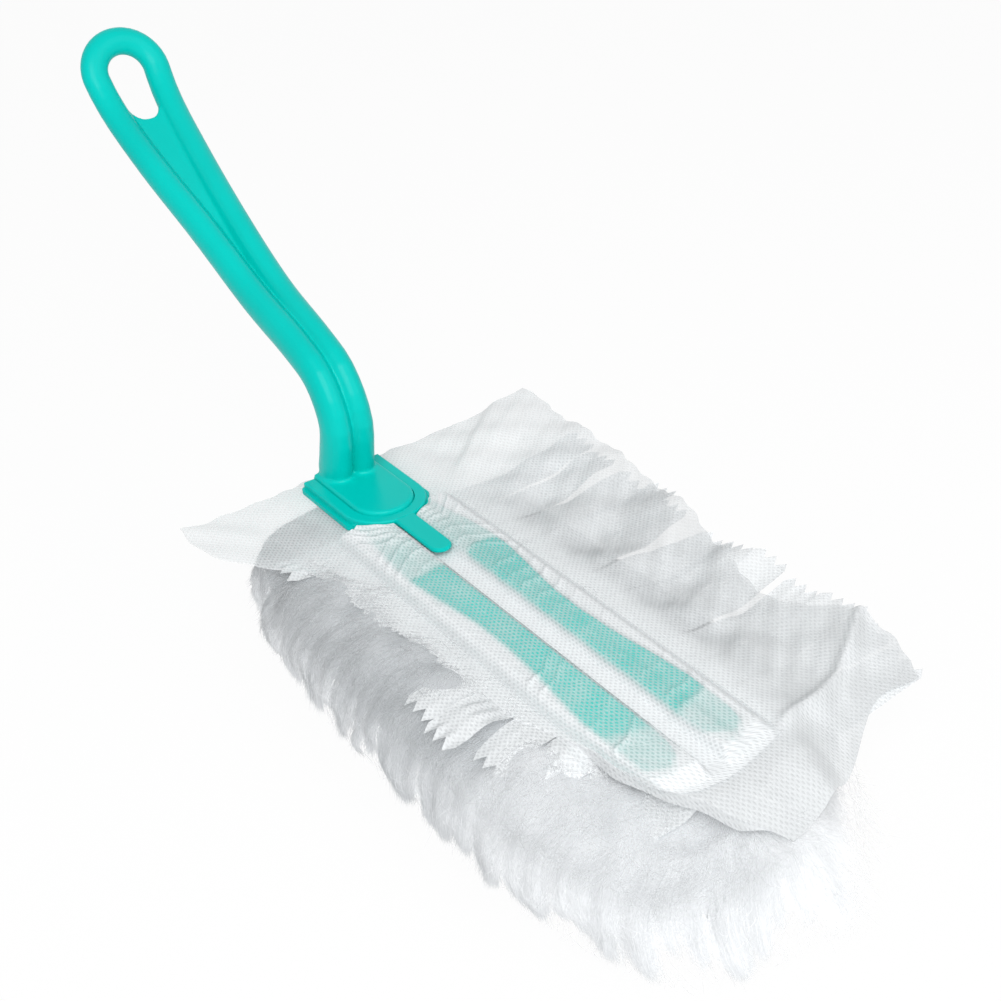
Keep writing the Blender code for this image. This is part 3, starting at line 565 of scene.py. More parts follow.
def make_pocket_cloth(material):
    """The top cloth: z is the tunnel's height over the pad, closed at the bowed far end, plus upward wrinkles:
    pleats round the socket, arcs over the root of each prong and slanting ridges along the prongs."""
    rows, columns = 360, 181
    y = np.linspace(-POCKET_HALF_WIDTH, POCKET_HALF_WIDTH, columns)
    lip = SOCKET_RADIUS + CLEARANCE
    lip_front = SOCKET_FRONT_X - SOCKET_RADIUS + np.sqrt(np.clip(lip ** 2 - y ** 2, 0.0, None))
    mouth = np.maximum(lip_front, COLLAR_MOUTH_X) + 0.0004 * waves(y, (0.011, 0.0063), 3)
    end = POCKET_END_X - POCKET_BOW * (np.abs(y) / POCKET_HALF_WIDTH) ** 1.5
    x = mouth + (end - mouth) * np.linspace(0.0, 1.0, rows)[:, None]
    y = np.broadcast_to(y, x.shape)
    out = np.abs(y)
    to_end = end - x
    closing = smooth(to_end, POCKET_WELD, POCKET_WELD + POCKET_TAPER)
    slack = smooth(out, 0.0035, 0.008) * fall(out, 0.0195, 0.0245) * closing
    from_socket = np.hypot(x - SOCKET_FRONT_X + SOCKET_RADIUS, y) + 0.0008 * waves(y, (0.017, 0.0093), 4)
    pleats = ridges(from_socket, ((0.0182, 0.9), (0.0209, 0.6), (0.0243, 0.8), (0.0287, 0.5)), 0.0011)
    pleats = pleats * np.where(y > 0, smooth(y, 0.002, 0.009), smooth(-y, 0.004, 0.012))
    arc = x - 0.006 * ((out - 0.007) / 0.013) ** 2 + 0.0008 * waves(y, (0.021, 0.0117), 6)
    left_arcs = ridges(arc, ((-0.0715, 0.7), (-0.0655, 1.0), (-0.059, 0.9), (-0.0505, 0.5)), 0.0013)
    right_arcs = ridges(arc, ((-0.064, 0.5), (-0.056, 0.6), (-0.049, 0.9)), 0.0014)
    slant = x + 0.42 * (y - 0.012) + 0.0012 * waves(y, (0.014, 0.023), 7)
    right_slants = ridges(slant, ((-0.0345, 0.9), (-0.0262, 0.7), (-0.019, 1.0), (-0.0105, 0.8), (-0.002, 0.4),
                                  (0.013, 0.3), (0.042, 0.5), (0.0545, 0.9), (0.061, 0.7)), 0.0017)
    lean = x - 0.55 * (out - 0.012) + 0.001 * waves(y, (0.013, 0.02), 9)
    left_slants = ridges(lean, ((-0.03, 0.2), (0.0195, 0.9), (0.0255, 0.8), (0.048, 0.4), (0.06, 1.0)), 0.0012)
    folds = np.where(y > 0, right_arcs + right_slants, left_arcs + left_slants) * 0.0008 + pleats * 0.001
    fine = waves(x * 0.8 + out, (0.0037, 0.0052, 0.0071), 5, 0.00007)
    z = PAD_Z - 0.0001 + tunnel_height(y) * closing + slack * (folds + fine)
    blade = np.interp(x, *BLADE_EDGE)
    drawn = blade + (out - blade) * (np.interp(x, *POCKET_LEFT_EDGE) - blade) / (POCKET_HALF_WIDTH - blade)
    y = np.where((y < 0) & (out > blade), -drawn, y)
    obj = make_mesh("pocket_cloth", as_points(x, y, z), [grid_faces(rows, columns)], material)
    add_flat_map(obj, x, run_length(y, z))
    outer = prong_outer(x)
    tip = 0.0805 - 0.55 * np.abs(out - 0.0125)
    across = smooth(out, PRONG_INNER - 0.0014, PRONG_INNER + 0.0006)
    across = across * fall(out, outer - 0.0016, outer + 0.0012) * fall(x, tip - 0.003, tip)
    start = -0.0468 - 0.0042 * np.sin(np.clip((out - 0.004) / 0.0185, 0.0, 1.0) * math.pi)
    start = np.where(y > 0, start, -0.0465)
    tight = smooth(x, start - 0.0014, start + 0.0014) * fall(x + 0.35 * (out - 0.012), 0.0575, 0.0635)
    patch = 0.9 + 0.07 * waves(x + 0.4 * y, (0.021, 0.034, 0.013), 8)
    loose = 0.5 - 0.3 * smooth(-x, 0.062, 0.086)
    contact = np.clip(across * (loose + (1 - loose) * tight) * patch - 0.07 * folds / 0.0011, 0.0, 1.0)
    seam = fall(out, 0.002, 0.004)
    weld = fall(to_end, POCKET_WELD, POCKET_WELD + 0.0015)
    edge = smooth(out, POCKET_HALF_WIDTH - SIDE_WELD - 0.001, POCKET_HALF_WIDTH - SIDE_WELD + 0.0005)
    cover = np.maximum.reduce([0.5 * seam, 0.8 * weld, 0.5 * edge, 0.4 * (1 - contact) ** 2])
    rim = 1 - smooth(POCKET_HALF_WIDTH - out, 0.0, 0.0012) * smooth(to_end, 0.0, 0.001)
    hem = fall(POCKET_HALF_WIDTH - out, 0.0, 0.005)
    add_attributes(obj, solid=0.45 * cover - 0.35 * rim - 0.8 * hem, thin=contact, dull=np.zeros(x.size))
    return obj


# The wide cloth. Its cut edges are tables of shares: of its length against the reach of a wing, and of the way
# from the left edge at -2 to the right one at 2 against the length that the front end falls short.
BASE_LENGTH = 0.248
BASE_REAR_X = -0.132
RIGHT_WING_REACH = 0.092
LEFT_WING_REACH = 0.066
RIGHT_EDGE_SHARES = ((0.0, 0.25, 0.39, 0.55, 0.66, 0.73, 0.8, 0.87, 0.93, 1.0),
                     (1.0, 0.98, 0.945, 0.885, 0.8, 0.755, 0.79, 0.925, 0.93, 0.87))
LEFT_EDGE_SHARES = ((0.0, 0.1, 0.2, 0.28, 0.36, 0.44, 0.52, 0.6, 0.66, 0.74, 0.81, 0.86, 0.9, 0.95, 1.0),
                    (1.0, 0.97, 0.66, 0.55, 0.6, 0.53, 0.52, 0.56, 0.48, 0.375, 0.325, 0.272, 0.215, 0.1, -0.05))
FRONT_FALL_SHARES = ((-2.0, -1.0, 0.0, 1.0, 1.2, 1.5, 1.7, 2.0),
                     (0.012, 0.014, 0.024, 0.038, 0.055, 0.096, 0.118, 0.105))
CREASE = ((0.02, 0.0265, 0.037, 0.047, 0.058, 0.0706, 0.0826),
          (0.086, 0.083, 0.0797, 0.0783, 0.0757, 0.069, 0.0614))
FOLD_STEPS = 7


def curve_through(table, value):
    """A smooth curve through a table of places and values: interpolated, then averaged over its neighbours."""
    width = (table[0][-1] - table[0][0]) * 0.022
    samples = [np.interp(value + width * offset, *table) for offset in (-1.0, -0.5, 0.0, 0.5, 1.0)]
    return np.mean(samples, axis=0)


def tow_share(x, y):
    """How far out a place is in the tow, from 0 at its middle to 1 at its rim: a superellipse."""
    along = np.abs((x - TOW_CENTRE_X) / TOW_HALF_LENGTH) ** TOW_POWER
    across = np.abs(y / TOW_HALF_WIDTH) ** TOW_POWER
    return (along + across) ** (1.0 / TOW_POWER)


def tow_drop(share):
    """How far the top of the tow has drooped: the square of the way past its shoulder."""
    return TOW_DROP * np.clip((share - TOW_SHOULDER_SHARE) / (1 - TOW_SHOULDER_SHARE), 0.0, None) ** 2


def sheet_height(x, y):
    """Height of the sheets under the pockets: level there, over the tow beyond and lifted off its rim."""
    share = np.minimum(tow_share(x, y), 0.97)
    droop = tow_drop(share) - 0.0012 * smooth(share, 0.6, 1.0)
    rear = smooth(TOW_CENTRE_X - x, 0.0, TOW_HALF_LENGTH)
    beyond = 1 - fall(np.abs(y), POCKET_HALF_WIDTH, 0.042) * fall(x, 0.088, 0.112)
    return BASE_Z - droop * (1 - 0.8 * rear) * beyond


# Soft valleys and ridges of the right wing, in millimetres: ends of each line, half width and height.
WING_FOLDS = ((-76, 66, -54, 30, 6.0, -2.1), (-47, 84, -28, 33, 8.0, -2.4), (-66, 84, -40, 40, 8.0, 1.6),
              (-22, 84, -8, 36, 8.0, 1.4), (-2, 82, 14, 34, 7.0, -1.6), (26, 76, 40, 34, 6.0, -1.4),
              (-104, 70, -84, 32, 6.0, -1.2), (34, 56, 62, 40, 4.0, 1.0))


def wing_folds(x, y):
    """Folds of the right wing: each a bell of the distance to its line, over broad soft waves."""
    folds = 0.0
    for start_x, start_y, end_x, end_y, width, height in np.array(WING_FOLDS) * 0.001:
        way_x, way_y = end_x - start_x, end_y - start_y
        share = ((x - start_x) * way_x + (y - start_y) * way_y) / (way_x ** 2 + way_y ** 2)
        near = np.clip(share, 0.0, 1.0)
        gap = np.hypot(x - start_x - near * way_x + 0.0012 * np.sin(9 * share), y - start_y - near * way_y)
        folds = folds + height * np.exp(-(gap / width) ** 2)
    soft = waves(x + 0.4 * y, (0.047, 0.031), 12, 0.0007) + waves(x - 0.8 * y, (0.037, 0.0213), 15, 0.0006)
    line = (x + 0.096) * 0.791 + (y - 0.029) * 0.612
    step = 0.0026 * smooth(line, -0.0035, 0.0015) * np.exp(-np.clip(line, 0.0, None) / 0.028)
    return folds + soft + waves(x + 0.6 * y, (0.0113, 0.0077), 13, 0.00016) + step


def wing_height(x, y):
    """Height of the base cloth: sheet_height, with the right wing carried level, folded, creased and bent down."""
    out_right = smooth(y, POCKET_HALF_WIDTH, RIGHT_WING_REACH)
    out_left = smooth(-y, POCKET_HALF_WIDTH, LEFT_WING_REACH)
    level = BASE_Z + (sheet_height(x, y) - BASE_Z) * (1 - out_right)
    gather = smooth(y, POCKET_HALF_WIDTH + 0.001, POCKET_HALF_WIDTH + 0.022)
    small = waves(x - y, (0.019, 0.031), 14, 0.0007) * out_left
    past = x - np.interp(y, *CREASE)
    near = smooth(y, 0.022, 0.034)
    crest = near * (0.0016 * np.exp(-(past / 0.0022) ** 2) + 0.0012 * np.exp(-np.abs(past) / 0.01))
    beyond = np.clip(past, 0.0, None)
    bent = near * (0.0032 * (1 - np.exp(-beyond / 0.009)) + 0.13 * beyond)
    behind = 1 - smooth(past, -0.012, 0.0) * near
    return (level + 0.002 * out_right + 0.002 * out_left + wing_folds(x, y) * gather * behind + small
            + crest - bent)


def make_base_cloth(material):
    """The wide cloth: a grid between its cut edges, laid at wing_height, its front left edge folded under."""
    rows, columns = 270, 210
    along, side = np.meshgrid(np.linspace(0.0, 1.0, rows), np.linspace(-2.0, 2.0, columns), indexing="ij")
    x = BASE_REAR_X + BASE_LENGTH * along * (1 - curve_through(FRONT_FALL_SHARES, side))
    x = x - 0.0012 * waves(side, (0.9, 0.37), 21) * (1 - along)
    left = -LEFT_WING_REACH * curve_through(LEFT_EDGE_SHARES, along) + waves(along, (0.13, 0.07), 22, 0.0008)
    ragged = smooth(along, 0.16, 0.26) * fall(along, 0.66, 0.72)
    left = left + waves(along, (0.031, 0.019, 0.012), 25, 0.0012) * ragged
    right = RIGHT_WING_REACH * curve_through(RIGHT_EDGE_SHARES, along) + waves(along, (0.11, 0.045), 23, 0.001)
    inner_left = np.maximum(left + 0.006, -POCKET_HALF_WIDTH)
    y = np.where(side < -1.0, inner_left + (left - inner_left) * (-side - 1.0),
                 inner_left + (POCKET_HALF_WIDTH - inner_left) * (side + 1.0) / 2)
    y = np.where(side > 1.0, POCKET_HALF_WIDTH + (right - POCKET_HALF_WIDTH) * (side - 1.0), y)
    z = wing_height(x, y)
    turned = (smooth(x, 0.04, 0.058) * fall(x, 0.1, 0.108))[:, :1]
    fold = (0.0003 + 0.003 * turned) * np.linspace(1.0, 0.0, FOLD_STEPS + 1)[:-1]
    flat_y = np.hstack([y[:, :1] - fold, y])
    x = np.hstack([x[:, :1] + 0.25 * fold, x])
    y = np.hstack([y[:, :1] - 0.35 * fold, y])
    z = np.hstack([z[:, :1] - fold, z])
    obj = make_mesh("base_cloth", as_points(x, y, z), [grid_faces(*x.shape)], material)
    add_flat_map(obj, x, flat_y)
    rear_left = fall(x, -0.098, -0.072) * smooth(-y, -0.004, 0.016)
    rear_right = fall(x, -0.104, -0.08) * smooth(y, -0.004, 0.016)
    flap = smooth(y, 0.046, 0.085) * smooth(x, 0.058, 0.085)
    side_hem = smooth(-y, 0.03, 0.037) * smooth(x, -0.09, -0.07)
    wing = smooth(y, 0.029, 0.04) * smooth(x, -0.1, -0.075) * fall(x, 0.03, 0.07)
    thin = np.clip(0.85 * rear_left + 0.6 * rear_right + 0.2 * flap + 0.5 * side_hem + 0.75 * wing, 0.0, 1.0)
    # Painted shade, as a greyer colour: the right wing in soft patches, the front panel and flap, and the strip
    # folded under the front left edge.
    patches = 0.75 + 0.35 * waves(x - 0.6 * y, (0.033, 0.021), 31) + 0.3 * waves(x + 0.9 * y, (0.0137, 0.0093), 32)
    fold_shade = (np.arange(x.shape[1]) < FOLD_STEPS) * turned
    shaded = smooth(y, 0.03, 0.044) * smooth(x, -0.08, -0.045) * np.clip(patches, 0.0, 1.0)
    panel_shade = (0.55 + 0.45 * smooth(y, 0.04, 0.056)) * smooth(x, 0.07, 0.09)
    add_attributes(obj, solid=0.1 * fall(np.abs(y), 0.02, 0.03) * fall(x, 0.075, 0.09), thin=thin,
                   dull=np.maximum.reduce([panel_shade, shaded, fold_shade]))
    return obj


# The cut cloth.
STRIP_COUNT = 12
STRIP_SHEET_LENGTH = 0.18
STRIP_ROOT = 0.026
STRIP_RIGHT_REACH = 0.084
# Reach of each left strip from the rear to the front, and how far its end is lifted or tucked under the tow.
STRIP_LEFT_REACH = (0.046, 0.041, 0.038, 0.036, 0.041, 0.046, 0.049, 0.0535, 0.047, 0.036, 0.03, 0.028)
STRIP_LEFT_LIFT = (0.0, -1.0, -1.0, -1.0, -1.0, -0.6, 0.3, 1.0, 0.2, -0.6, -1.0, -1.0)
STRIP_TOOTH = 0.0035
STRIP_TEETH = 3


def make_strip_cloth(material):
    """The cut cloth: strips run out from a middle band, each a grid whose outer rows are moved to pinked teeth."""
    pitch = STRIP_SHEET_LENGTH / STRIP_COUNT
    columns, rows = 6 * STRIP_TEETH + 1, 44
    points, faces = [], []

    def add(x, y, z):
        faces.append(grid_faces(*x.shape) + sum(len(grid) for grid in points))
        points.append(as_points(x, y, z))

    band_x, band_y = np.meshgrid(np.linspace(-STRIP_SHEET_LENGTH / 2, STRIP_SHEET_LENGTH / 2, 120),
                                 np.linspace(-STRIP_ROOT, STRIP_ROOT, 24), indexing="ij")
    hidden = 0.006 * smooth(band_x, 0.05, 0.066) * smooth(-band_y, 0.004, 0.018)
    add(band_x, band_y, sheet_height(band_x, band_y) - 0.0006 - hidden)
    for side in (-1, 1):
        for index in range(STRIP_COUNT):
            start = -STRIP_SHEET_LENGTH / 2 + index * pitch
            lift = STRIP_LEFT_LIFT[index]
            reach = STRIP_LEFT_REACH[index] if side < 0 else STRIP_RIGHT_REACH + rng.uniform(-0.005, 0.003)
            slip, curl, sway = rng.uniform(-0.006, 0.006), rng.uniform(0.0, 0.0035), rng.uniform(-0.003, 0.003)
            across, out = np.meshgrid(np.linspace(0.0, 1.0, columns), np.linspace(0.0, 1.0, rows), indexing="ij")
            tooth = STRIP_TOOTH * (1 - np.abs((across * STRIP_TEETH) % 1.0 * 2 - 1.0))
            run = STRIP_ROOT + (reach - STRIP_ROOT + tooth) * out
            x = start + 0.0004 + (pitch - 0.0006) * across + slip * out ** 2
            y = side * run
            wave = np.sin(out * 5 + index * 2.1) * sway * out
            bow = 0.001 * (1 - (2 * across - 1.0) ** 2) * out
            if side < 0:
                z = sheet_height(x, y) - 0.0004 + (0.003 + 0.0012 * (lift > 0)) * lift * smooth(out, 0.15, 0.6) + bow
                z = z + np.abs(wave) * 0.4 + max(lift, 0.0) * curl * out ** 3
                z = z - 0.006 * smooth(x, 0.05, 0.066)
            else:
                z = wing_height(x, y) - 0.0007 - 0.0006 * out - np.abs(wave) * 0.5 - bow * 0.5
            add(x, y, z)
    points = np.vstack(points)
    obj = make_mesh("strip_cloth", points, [np.vstack(faces)], material)
    add_flat_map(obj, points[:, 0], points[:, 1])
    plain = np.zeros(len(points))
    add_attributes(obj, solid=plain, thin=plain, dull=plain)
    return obj


# Tow.

def tow_rim(samples):
    """Places on the tow's rim at shares of its length, the stations on its spine that they fan out from, and the
    length."""
    angle = np.linspace(0.0, 2 * math.pi, 4001)
    power = 2.0 / TOW_POWER
    x = TOW_HALF_LENGTH * np.sign(np.cos(angle)) * np.abs(np.cos(angle)) ** power
    y = TOW_HALF_WIDTH * np.sign(np.sin(angle)) * np.abs(np.sin(angle)) ** power
    run = run_length(x, y)
    place = (np.asarray(samples) % 1.0) * run[-1]
    rim_x = np.interp(place, run, x)
    return rim_x + TOW_CENTRE_X, np.interp(place, run, y), SPINE_SHARE * rim_x + TOW_CENTRE_X, run[-1]


# Profile of the tow's side by the distance past the edge of the top: how far strands and body stand out, the share
# of the height that it has fallen, and the tilt of its normal.
SIDE_RUN = (0.0, 0.006, 0.012, 0.018, 0.024, 0.03, 0.0335, 0.06)
SIDE_OUT = (0.0, 0.003, 0.0042, 0.0038, 0.0028, 0.002, 0.0018, 0.0018)
BODY_OUT = (0.0, 0.001, -0.0018, -0.0075, -0.014, -0.02, -0.023, -0.023)
SIDE_FALL = (0.0, 0.19, 0.405, 0.61, 0.79, 0.935, 0.99, 1.0)
SIDE_TILT = (0.55, 0.9, 1.15, 1.3, 1.4, 1.45, 1.45, 1.45)

# Waves of the billows: turns round the rim, run outward in metres, phase and share.
BILLOW_WAVES = ((9, 0.034, 0.3, 1.0), (17, 0.061, 1.9, 0.8), (-14, 0.027, 4.0, 0.8), (26, 0.041, 5.1, 0.5),
                (5, 0.019, 2.6, 0.7), (-23, 0.018, 0.9, 0.5), (37, -0.031, 3.3, 0.3))


def billows(around, past):
    """Height of the soft lumps of the tow: sines round the rim and outward, each bent by the other."""
    lumps = 0.0
    for turns, run, phase, share in BILLOW_WAVES:
        bend = 0.7 * np.sin(2 * math.pi * (turns // 2 + 3) * around + past / 0.0045 + 2.1 * phase)
        lumps = lumps + share * np.sin(2 * math.pi * (turns * around + past / run) + phase + bend)
    return 0.00055 * lumps * smooth(past, -0.06, -0.02) * (1 - 0.7 * smooth(past, 0.018, 0.03))


def tow_lift(x, y):
    """How far the tow rises on the left, over the tucked ends of the strips, and sinks under the right wing and
    beside the folded edge."""
    band = smooth(-y, 0.0285, 0.0375) * fall(tow_share(x, y), 0.84, 1.0)
    open_strip = 1 - 0.9 * smooth(x, 0.002, 0.012) * fall(x, 0.036, 0.046)
    under_wing = smooth(y, 0.022, 0.036) * fall(x, 0.05, 0.075)
    past_edge = -y - np.interp(x, (0.058, 0.073, 0.084, 0.0947, 0.104), (0.0216, 0.0186, 0.0151, 0.0115, 0.0061))
    beside = np.exp(-(past_edge / 0.009) ** 2) * smooth(x, 0.036, 0.056) * fall(x, 0.098, 0.108)
    return (0.0034 * band * smooth(x, -0.1, -0.078) * fall(x, 0.04, 0.06) * open_strip
            - 0.005 * under_wing - 0.0032 * beside)


def tow_surface(around, past, stand, side_out, hollow):
    """A place on the tow, its unit normal and the level tangent. around is the share of the rim, past the distance
    past the top's edge, stand the distance off the surface; before the edge the place is on the drooping top,
    then on the side, whose outward profile is side_out. hollow is how far the front right corner is missing."""
    rim_x, rim_y, spine_x, length = tow_rim(around)
    reach = np.hypot(rim_x - spine_x, rim_y)
    way_x, way_y = (rim_x - spine_x) / reach, rim_y / reach
    missing = hollow * smooth(rim_x, 0.074, 0.104) * smooth(rim_y, 0.006, 0.034)
    missing = missing + CORNER_HOLLOW * smooth(-rim_x, 0.08, 0.112) * smooth(rim_y, -0.002, 0.022)
    out = TOW_RIM_SHARE * reach + np.minimum(past, 0.0) - missing * smooth(past, -0.03, 0.0)
    out = np.clip(out, 0.0, None) + np.interp(past, SIDE_RUN, side_out)
    x = spine_x + way_x * out
    y = way_y * out
    share = np.minimum(tow_share(x, y), TOW_RIM_SHARE)
    top = TOW_TOP_Z - tow_drop(share) + tow_lift(x, y) * (past < 0.012)
    height = top * (1 - np.interp(past, SIDE_RUN, SIDE_FALL))
    slope = np.arctan(2 * TOW_DROP * np.clip(share - TOW_SHOULDER_SHARE, 0.0, None)
                      / (1 - TOW_SHOULDER_SHARE) ** 2 / np.maximum(reach, 0.02))
    tilt = np.where(past < 0.0, slope, np.interp(past, SIDE_RUN, SIDE_TILT))
    step = 0.001
    across_slope = (billows(around + step / length, past) - billows(around - step / length, past)) / (2 * step)
    out_slope = (billows(around, past + step) - billows(around, past - step)) / (2 * step)
    stand = stand + billows(around, past)
    normal = np.stack([way_x * np.sin(tilt), way_y * np.sin(tilt), np.cos(tilt)], axis=-1)
    outward = np.stack([way_x * np.cos(tilt), way_y * np.cos(tilt), -np.sin(tilt)], axis=-1)
    tangent = np.stack([-way_y, way_x, np.zeros_like(way_x)], axis=-1)
    points = np.stack([x, y, height], axis=-1) + normal * stand[..., None]
    points[..., 2] = np.maximum(points[..., 2], TOW_FLOOR_Z)
    bent = normal - out_slope[..., None] * outward - across_slope[..., None] * tangent
    return points, unit(bent), tangent


def upward_lean(past):
    """How far shading normals lean up from the tow's surface, as light does that passes through fine fibre."""
    return 0.7 + 0.3 * smooth(past, 0.002, 0.018)


def painted_tow_light(x, tip, middle):
    """Painted light and shade along the tow: brighter by tip at the front and by 0.30 at the rear end, greyer by
    middle between.
    """
    front = smooth(x, *TOW_FRONT)
    return tip * front ** 2 - middle * np.sin(math.pi * front) + 0.3 * smooth(-x, 0.085, 0.115)


# Rings of tufts round the rim, from the hanging skirt up to the shoulder: where the roots lie, the shortest and
# the longest end, how thick a tuft stands, how far its tip flares, and the ring's share of the strands.
TUFT_RINGS = ((0.006, 0.0135, 0.0325, 0.0012, 0.0012, 0.42),
              (-0.001, 0.008, 0.022, 0.0012, 0.0016, 0.12),
              (-0.009, 0.002, 0.013, 0.0008, 0.0008, 0.05))
TUFTS_A_RING = 62


def tuft_ends(ring, around):
    """Where places on the rim lie in the tufts of a ring, which are cut at random widths: the place from -1 to 1
    across its tuft, the tuft's width, how far a strand there ends, and the tuft's reach and lean."""
    _, short, far, _, _, _ = TUFT_RINGS[ring]
    local = np.random.default_rng(300 + ring // 2)
    width = local.uniform(0.45, 1.45, TUFTS_A_RING)
    edges = np.concatenate([[0.0], np.cumsum(width) / width.sum()])
    reach, lean = local.beta(1.5, 1.1, TUFTS_A_RING), local.normal(0.0, 0.0022, TUFTS_A_RING)
    tuft = np.clip(np.searchsorted(edges, around, side="right") - 1, 0, TUFTS_A_RING - 1)
    width = edges[tuft + 1] - edges[tuft]
    c = 2.0 * (around - edges[tuft]) / width - 1.0
    end = short + (far - short) * reach[tuft] - 0.0085 * np.abs(c) ** 1.4
    return c, width, end, reach[tuft], lean[tuft]


def make_tow_body(material):
    """The closed core of the tow: tow_surface over a grid, with a flat underside."""
    columns, side_rows, side_end = 720, 19, 0.0335
    around = np.linspace(0.0, 1.0, columns, endpoint=False)
    rim_x, rim_y, spine_x, length = tow_rim(around)
    reach = np.hypot(rim_x - spine_x, rim_y)
    top = np.linspace(-1.0, 0.0, 30)[:, None] * TOW_RIM_SHARE * reach[None, :]
    side = np.broadcast_to(np.linspace(0.0, side_end, side_rows + 1)[1:, None], (side_rows, columns))
    past = np.vstack([top, side])
    grid = np.broadcast_to(around, past.shape)
    points, normals, _ = tow_surface(grid, past, np.full(past.shape, -0.0008), BODY_OUT, 0.036)
    floor = points[-1].copy()
    floor[:, 2] = TOW_FLOOR_Z
    centre = np.array([TOW_CENTRE_X, 0.0, TOW_FLOOR_Z])
    middle = centre + (floor - centre) * (0.5, 0.02, 0.0)
    points = np.vstack([points.reshape(-1, 3), floor, middle])
    faces = grid_faces(len(past) + 2, columns, closed=True)[:, ::-1]
    obj = make_mesh("tow_body", points, [faces], material)
    add_flat_map(obj, np.vstack([grid, grid[:2]]) * length, np.vstack([past, past[-1:] + 0.004, past[-1:] + 0.05]))
    # The body's tone: painted light and shade along its length.
    add_attributes(obj, shade=0.18 + painted_tow_light(points[:, 0], 0.24, 0.1))
    normals[..., 2] += upward_lean(past)
    set_normals(obj, np.vstack([normals.reshape(-1, 3), np.repeat([[0.0, 0.0, -1.0]], 2 * columns, axis=0)]))
    return obj


def strand_mesh(name, lines, normals, radius, shade, veil, material):
    """Tapered three-sided strands round centre lines of shape strands by points; each closes in a point. Their
    shading normals lean to the normal of the mass they lie on, as light does that passes through fine fibre."""
    strands, steps, _ = lines.shape
    along = unit(np.gradient(lines, axis=1))
    side = unit(np.cross(along, np.array([0.31, 0.17, 0.93])))
    other = np.cross(along, side)
    taper = np.linspace(1.0, STRAND_TAPER, steps - 1)[None, :, None, None]
    angles = np.linspace(0.0, 2 * math.pi, 3, endpoint=False)[None, None, :, None]
    ring = lines[:, :-1, None, :] + radius[:, None, None, None] * taper * (
        np.cos(angles) * side[:, :-1, None, :] + np.sin(angles) * other[:, :-1, None, :])
    points = np.concatenate([ring.reshape(strands, -1, 3), lines[:, -1:, :]], axis=1)
    size = points.shape[1]
    quads = grid_faces(steps - 1, 3, closed=True)
    tips = np.array([(size - 4, size - 3, size - 1), (size - 3, size - 2, size - 1), (size - 2, size - 4, size - 1),
                     (2, 1, 0)])
    offset = (np.arange(strands) * size)[:, None, None]
    faces = [(shape + offset).reshape(-1, shape.shape[1]) for shape in (quads, tips)]
    obj = make_mesh(name, points.reshape(-1, 3), faces, material)

    def on_points(values):
        return np.concatenate([np.repeat(values[:, :-1], 3, axis=1), values[:, -1:]], axis=1)

    set_normals(obj, 0.12 * unit(points - on_points(lines)) + on_points(normals))
    add_attributes(obj, shade=on_points(shade), veil=on_points(veil))
    return obj


